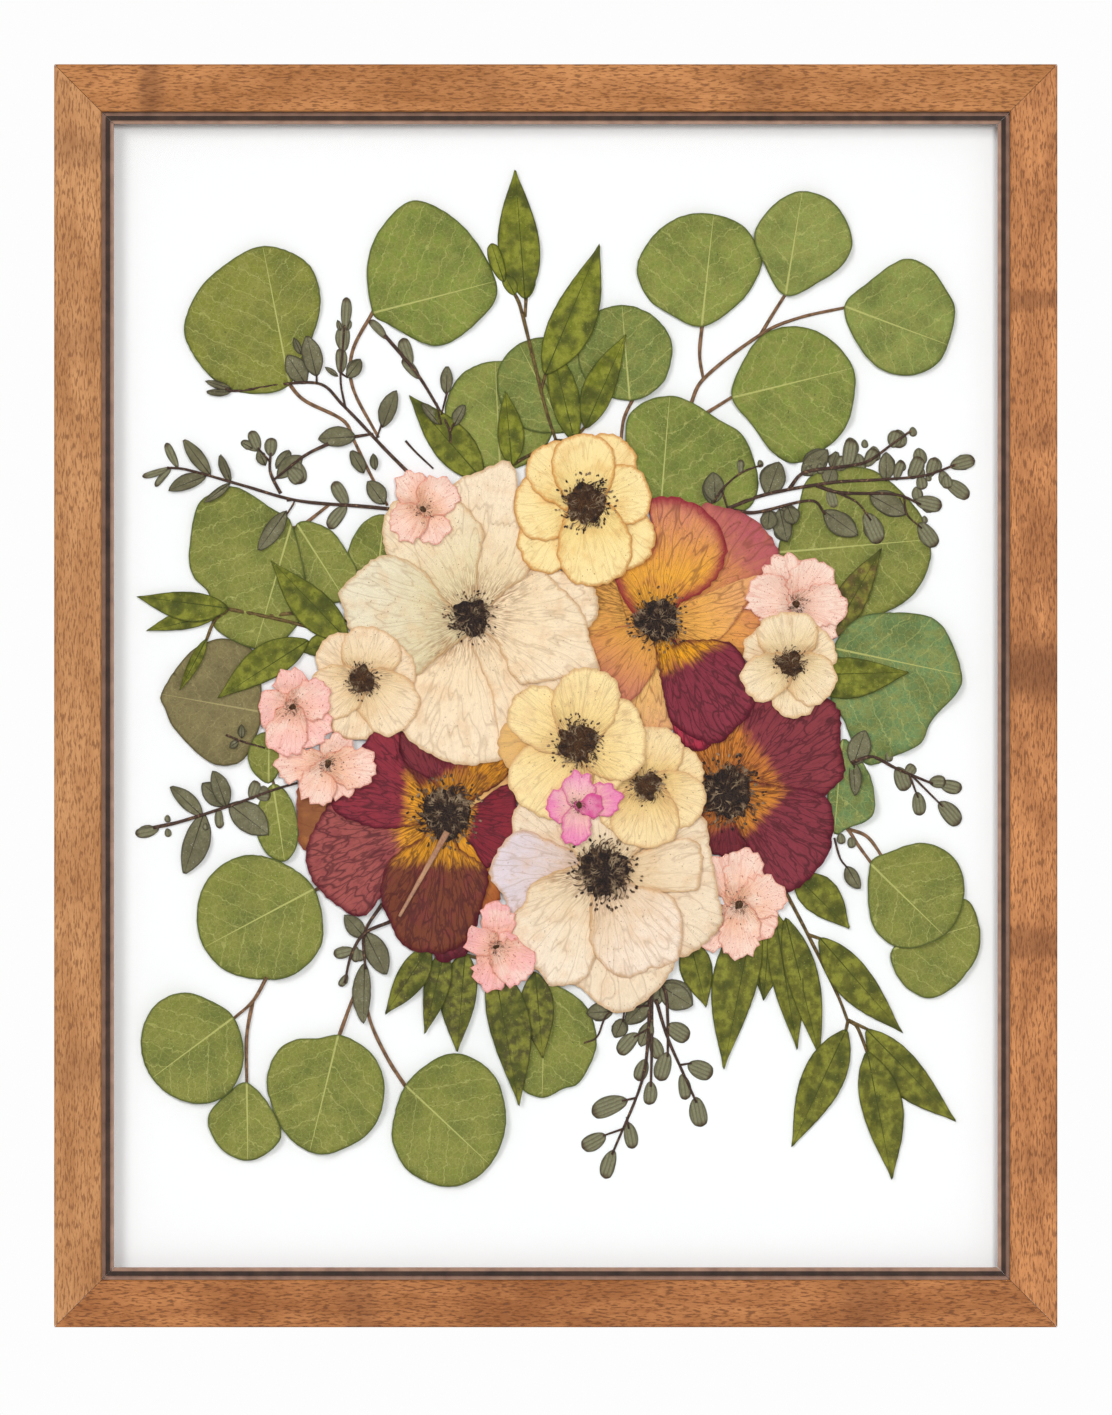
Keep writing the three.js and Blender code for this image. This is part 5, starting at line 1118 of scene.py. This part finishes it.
# Small leaves and capsules kept in the scene alone: x, y and size, or x0, y0, x1, y1 and width
smallParts = {
    "seeded_sprig_right_upper": {
        "rounds": [(741, 463, 8), (760, 463, 7), (809, 470, 10), (820, 468, 10), (850, 446, 17),
            (865, 443, 8), (898, 438, 17), (913, 431, 9), (874, 453, 14), (843, 468, 15), (858, 462, 17),
            (901, 465, 11), (912, 472, 12), (921, 471, 10), (919, 456, 16), (935, 464, 14),
            (947, 481, 13), (921, 482, 13), (917, 493, 13), (929, 477, 7), (814, 494, 13), (834, 496, 15),
            (925, 519, 7)],
        "blades": [(955, 465, 974, 459, 16), (954, 486, 969, 496, 15), (920, 502, 941, 506, 16),
            (868, 519, 878, 541, 19), (921, 526, 936, 544, 17), (712, 504, 714, 471, 22),
            (768, 493, 780, 461, 26), (804, 468, 827, 449, 22), (828, 484, 834, 466, 18),
            (831, 465, 838, 452, 12), (887, 478, 887, 451, 17), (875, 496, 907, 514, 24),
            (826, 512, 859, 535, 23), (784, 504, 796, 520, 17), (765, 510, 776, 528, 18),
            (778, 522, 790, 540, 19)],
    },
    "seeded_sprig_top_left": {
        "twigs": [[[405, 440], [415, 451], [433, 468]]],
        "blades": [(301, 354, 293, 336, 8), (340, 330, 337, 319, 6), (346, 330, 350, 319, 6),
            (347, 375, 361, 358, 14), (338, 376, 324, 366, 6), (364, 473, 350, 449, 14),
            (375, 470, 373, 452, 9), (384, 504, 367, 480, 19)],
    },
    "seeded_sprig_left_upper": {
        "blades": [(270, 454, 271, 437, 13), (257, 448, 250, 430, 12), (252, 448, 240, 441, 9),
            (265, 465, 257, 449, 11), (275, 468, 290, 449, 14)],
        "rounds": [(295, 472, 21)],
    },
    "seeded_sprig_left_lower": {
        "twigs": [[[225, 735], [243, 742], [264, 748]]],
        "blades": [(156, 829, 134, 834, 11), (241, 739, 241, 724, 8), (238, 741, 228, 748, 8)],
        "rounds": [(166, 819, 7), (166, 833, 8), (218, 823, 9), (204, 827, 7), (253, 787, 12),
            (262, 794, 15)],
    },
    "seeded_sprig_below_left": {
        "blades": [(350, 950, 333, 955, 12)],
        "rounds": [(358, 956, 11), (343, 981, 8)],
    },
    "seeded_sprig_bottom": {
        "blades": [(651, 1023, 640, 1048, 15), (664, 982, 693, 1007, 27), (649, 1001, 625, 1025, 20),
            (662, 986, 657, 1007, 12), (613, 1012, 586, 1014, 19), (623, 1021, 615, 1039, 17)],
    },
    "anemone_burgundy_left": {"stems": [[[447, 832], [430, 862], [399, 917]]]},
    "eucalyptus_leaf_right_middle": {
        "leaves": [[[843, 739], [866, 766], [874, 787], [875, 812], [866, 822], [850, 828], [835, 834],
            [828, 797]]],
    },
    "eucalyptus_leaf_top_centre": {
        "leaves": [[[565, 432], [522, 427], [500, 402], [499, 366], [519, 343], [550, 336], [580, 350],
            [594, 385], [586, 415]]],
    },
    "eucalyptus_pair_left": {
        "leaves": [[[378, 566], [352, 570], [347, 552], [361, 524], [384, 514], [394, 540]]],
    },
    "ruscus_spray_lower_right": {"blades": [(690, 940, 707, 1009, 33), (770, 935, 764, 1002, 25)]},
    "seeded_sprig_right_lower": {
        "twigs": [[[835, 838], [841, 859], [848, 868]]],
        "blades": [(847, 866, 861, 890, 15)],
        "rounds": [(889, 757, 9), (841, 839, 10), (851, 843, 10)],
    },
}


def farthest(points):
    away = np.linalg.norm(points - points[0], axis=1)
    return points[away.argmax()]


# How petals meet: mm past the centre for a read outline, and the share of a plain petal's length
petalRoot = {"past": 4.5, "share": 0.16}


# A listed leaf or petal whose first point is its base
def layOutline(plant, outline, base, level, look, inner, outer, seed, **more):
    drawn = plan(outline)
    if "petal" in look:
        away = drawn[1:].mean(0) - base
        drawn[0] = base - away / np.linalg.norm(away) * petalRoot["past"]
    sheet(plant, drawn, base, farthest(drawn), level, look, inner, outer, seed=seed, **more)


# A blade, plain petal or capsule from base to tip
def layBlade(plant, blade, level, look, inner, outer, seed, fullest, blunt, **more):
    base, tip = plan([blade[:2], blade[2:4]])
    if "petal" in look:
        x0, y0, x1, y1, width = blade
        blade = [x0 - (x1 - x0) * petalRoot["share"], y0 - (y1 - y0) * petalRoot["share"], x1, y1, width]
    bend = 0.04 * math.sin(seed * 2.3)
    outline = bladeOutline(*blade, fullest, blunt, bend)
    sheet(plant, outline, base, tip, level, look, inner, outer, seed=seed, **more)


# The matted centre, and where its stamens start
def layBoss(plant, boss, level, tiers):
    x, y, radius = boss
    big, tiny = radius > bossLook["small"], radius < bossLook["tiny"]
    centre = plan([(x, y)])[0]
    turn = np.arange(14) / 14 * 2 * math.pi
    reach = radius * pixel * (0.93 + 0.07 * np.sin(3 * turn + x) + 0.05 * np.sin(5 * turn + y))
    ring = centre + np.column_stack([np.cos(turn), np.sin(turn)]) * reach[:, None]
    base = level + tiers * tierStep + 0.1
    room = roomAbove(ring).min() - grid["margin"] - base
    tall = max(min(bossLook["tall" if big else "lowTall"], room - 0.15), 0.15)
    if tiny:
        ring = centre + (ring - centre) * 0.55
    brown = plant["name"] in bossLook["brown"] or not big
    inner = bossLook["brownInner" if brown else "inner"]
    outer = bossLook["brownOuter" if brown else "outer"]
    rng = np.random.default_rng(int(x + y))
    amount = int(radius * (9 if big else 5)) + 12 * tiny
    angle = rng.uniform(0, 2 * math.pi, amount)
    isThread = rng.uniform(0, 1, amount) < 0.65
    threadReach = np.sqrt(rng.uniform(0.0, 0.75, amount))
    antherReach = np.sqrt(rng.uniform(0.5, 6.0 if tiny else 2.3 if big else 1.8, amount))
    away = radius * pixel * np.where(isThread, threadReach, antherReach)
    at = centre + np.column_stack([np.cos(angle), np.sin(angle)]) * away[:, None]
    share = np.clip(away / (radius * pixel), 0, 1)
    height = np.minimum(base + 0.05 + tall * np.sqrt(1 - share**2), roomAbove(at) - 0.25)
    fillUnder(at, height - 0.12)
    sheet(plant, ring, centre, ring[0], base, "tuft", inner, outer, thickness=0.05, dome=tall * 0.5, rings=9,
          spacing=0.5, seed=int(x), hub=centre, frill=1.1 if big else 0.7, rough=0.6)
    scale = rng.uniform(0.7, 1.25, amount) * (radius / 20 * 0.8 + 0.2)
    thread = isThread.astype(float)
    plant["stamens"] = {"at": at, "height": height, "angle": angle, "thread": thread, "size": scale}


# Twigs first, then the stems that carry them, at the plant's own level
def layStems(plant, entry, more, style, level, seed):
    wide, narrow = style["widths"]
    tone, thick = style["stem"], style["thickness"]
    for k, path in enumerate(entry.get("twigs", []) + more.get("twigs", [])):
        stem(plant, path, narrow, narrow * 0.75, level + 0.02, "bark", tone, thick * 0.8, seed + k)
    for k, path in enumerate(entry.get("stems", [])):
        stem(plant, path, wide, narrow, level + 0.02, "bark", tone, thick, seed + 20 + k)


# A node's own level: the face that it turns to the glass, in mm
def levelOf(name):
    return -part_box(name)[1][1] / mm


# Tiers of one piece lie this many mm under each other, and blades lie over the leaves
tierStep = 0.1
overLeaves = 0.05
paleStem = {"look": "cream_petal", "tone": "#A5796A", "widths": (6.5, 3.0), "above": 1.0, "thickness": 0.3}
petalForm = {"cup": 1.5, "wave": 0.6}
leafForm = {"cup": 2.6, "wave": 0.5, "frill": 0.12}
bladeForm = {"cup": 1.6, "wave": 0.4, "frill": 0.12}
plainPetalForm = {"fullest": 0.62, "blunt": 0.42}
pointedForm = {"fullest": 0.4, "blunt": 1.25}
roundedForm = {"fullest": 0.48, "blunt": 0.85}
capsuleForm = {"fullest": 0.58, "blunt": 0.42, "dome": 0.5, "rings": 6, "spacing": 0.45, "thickness": 0.08}


# A flower: any stem that lies over it, its centre, then its petals from the top tier down
def growFlower(entry, plant, more, level, seed):
    tiers = entry["petals"]
    for path in more.get("stems", []):
        stem(plant, path, *paleStem["widths"], level + paleStem["above"], paleStem["look"], paleStem["tone"],
             paleStem["thickness"], seed)
    tones = petalTones.get(plant["name"], [])
    if entry.get("boss"):
        layBoss(plant, entry["boss"], level, len(tiers))
    centre = plan([entry["boss"][:2] if entry.get("boss") else tiers[0][0][0]])[0]
    number = sum(len(tier) for tier in tiers)
    for i in reversed(range(len(tiers))):
        for one in reversed(tiers[i]):
            number -= 1
            inner, outer, *own = tones[number] if number < len(tones) else plainPetal
            place = {
                "level": level + i * tierStep, "look": own[0] if own else slotNames[entry["finish"]],
                "inner": inner, "outer": outer, "seed": seed + number,
                "frill": 1.5 if "blossom" in plant["name"] else 0.6, **petalForm,
            }
            if isinstance(one[0], list):
                layOutline(plant, one, centre, **place)
            else:
                layBlade(plant, one, **place, **plainPetalForm)


# A sprig or a leaf: capsules or buds, blades, then the leaves in their tiers. The stems are laid
# last, under the leaves, but a seeded sprig's come first, over its capsules and blades
def growSprig(entry, plant, more, level, seed, kind):
    style = kinds[kind]
    name = plant["name"]
    tones = leafTones.get(name, [style["tone"]])
    look = "aged_leaf" if "aged" in name else "ruscus_leaf" if "ruscus" in name else style["look"]
    isSeeded, bladeShape = kind == "seeded", pointedForm if "ruscus" in look else roundedForm
    rounds = [(x, y - 0.55 * wide, x + 0.2 * wide, y + 0.55 * wide, 0.9 * wide)
              for x, y, wide in more.get("rounds", [])]
    if isSeeded:
        layStems(plant, entry, more, style, level, seed)
    for k, bud in enumerate(entry.get("buds", []) + rounds):
        budLook, budTone = ("capsule", "#88866A") if isSeeded else (look, tones[0])
        layBlade(plant, bud, level + overLeaves, budLook, budTone, leafEdge, seed + k, **capsuleForm)
    for k, blade in enumerate(entry.get("blades", []) + more.get("blades", [])):
        layBlade(plant, blade, level + overLeaves, look, tones[k % len(tones)], leafEdge, seed + 40 + k,
                 **bladeShape, **bladeForm)
    leaves = ([more["leaves"]] if "leaves" in more else []) + entry.get("leaves", [])
    number = sum(len(tier) for tier in leaves)
    for i in reversed(range(len(leaves))):
        for one in reversed(leaves[i]):
            number -= 1
            layOutline(plant, one, plan([one[0]])[0], level + i * tierStep, look, tones[number % len(tones)],
                       leafEdge, seed + 80 + number, **leafForm)
    if not isSeeded:
        layStems(plant, entry, more, style, level, seed)


# The plants' finishes, under the names that their slots get
slotNames = {
    "creamPetal": "cream_petal", "yellowPetal": "yellow_petal", "orangePetal": "orange_petal",
    "burgundyPetal": "burgundy_petal", "pinkPetal": "pink_petal", "brightPink": "bright_pink_petal",
    "agedGreen": "aged_leaf", "ruscusGreen": "ruscus_leaf",
}
groups = {"eucalyptus": eucalyptus, "ruscus": ruscus, "seeded": seeded, "flowers": flowers}
everything = [(entry, kind) for kind, entries in groups.items() for entry in entries]
everything.sort(key=lambda pair: -levelOf(pair[0]["name"]))
faces = 0
for entry, kind in everything:  # from the glass to the board, each shaped under those before it
    name = entry["name"]
    plant, seed, more = newPlant(name), sum(map(ord, name)), smallParts.get(name, {})
    if kind == "flowers":
        growFlower(entry, plant, more, levelOf(name), seed)
    else:
        growSprig(entry, plant, more, levelOf(name), seed, kind)
    piece = finished(plant, looks, stamens)
    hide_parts(entry["name"])
    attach(piece, "root")
    faces += len(plant["faces"])
print("plants laid", faces, "faces")


# The room: the camera sees a pale wall, glossy surfaces mirror a dim one, and the rest is lit by it
roomLight = {"seen": ("#FDFDFD", 1.0), "lit": ("#FFFFFF", 0.36), "mirrored": ("#FFFFFF", 0.08)}
world = bpy.data.worlds.new("studio")
bpy.context.scene.world = world
world.use_nodes = True
world.cycles.sampling_method = "NONE"
world.node_tree.nodes.clear()
node = partial(add, world.node_tree)
seen, lit, mirrored = (
    node("Background", {"Color": tone, "Strength": strength}) for tone, strength in roomLight.values()
)
soft = node("MixShader", [node("LightPath", out="Is Glossy Ray"), lit, mirrored])
node("OutputWorld", {"Surface": node("MixShader", [node("LightPath", out="Is Camera Ray"), soft, seen])})

# Soft lights: one throws the shadows to the lower right, one fills them from near the camera,
# and one reaches the back alone. Angles in degrees
lights = {
    "key": {"towards": (0.40, 1.0, -0.34), "power": 1.1, "angle": 22},
    "fill": {"towards": (-0.12, 1.0, -0.10), "power": 1.22, "angle": 10},
    "rear": {"towards": (-0.35, -1.0, -0.5), "power": 1.2, "angle": 25},
}
for lightName, light in lights.items():
    lamp = bpy.data.lights.new(lightName, "SUN")
    lamp.energy = light["power"]
    lamp.angle = math.radians(light["angle"])
    lampObject = bpy.data.objects.new(lightName, lamp)
    lampObject.rotation_euler = Vector(light["towards"]).to_track_quat("-Z", "Y").to_euler()
    lampObject.visible_transmission = False
    bpy.context.scene.collection.objects.link(lampObject)


# Floor: a pale painted board, far enough below to be out of the picture
def paleFloor():
    made, node, shader = material("pale_floor", Roughness=0.7)
    clouds = node("TexNoise", [node("TexCoord", out="Object"), None, 3, 3, 0.55])
    connect(shader, {"Base Color": node("ValToRGB", [clouds], stops=[(0.3, "#E6E6E4"), (0.7, "#EEEEEC")])})
    return made


floorSize = {"half": 6, "down": 1.2}
half, down = floorSize["half"], floorSize["down"]
floorMesh = bpy.data.meshes.new("floor")
corners = [(x * half, y * half, -down) for x, y in ((-1, -1), (1, -1), (1, 1), (-1, 1))]
floorMesh.from_pydata(corners, [], [(0, 1, 2, 3)])
floorMesh.materials.append(paleFloor())
floor = bpy.data.objects.new("floor", floorMesh)
bpy.context.scene.collection.objects.link(floor)

# Camera: far off and straight on, as high as the photo is
view = {"distance": 4.0, "photoHigh": 1415, "photoCentre": (556, 707.5), "sensor": 36}
lens = bpy.data.cameras.new("camera")
lens.sensor_fit = "VERTICAL"
lens.sensor_height = view["sensor"]
lens.lens = view["distance"] * view["sensor"] / (view["photoHigh"] * pixel * mm)
lens.clip_end = 50
camera = bpy.data.objects.new("camera", lens)
aside, below = (at * pixel * mm for at in (view["photoCentre"][0] - photoMiddle[0],
                                           photoMiddle[1] - view["photoCentre"][1]))
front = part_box("rail_top")[0][1]
camera.location = (middle[0] + aside, front - view["distance"], middle[1] + below)
camera.rotation_euler = (math.pi / 2, 0, 0)
bpy.context.scene.collection.objects.link(camera)
bpy.context.scene.camera = camera
bpy.context.scene.view_settings.view_transform = "Standard"
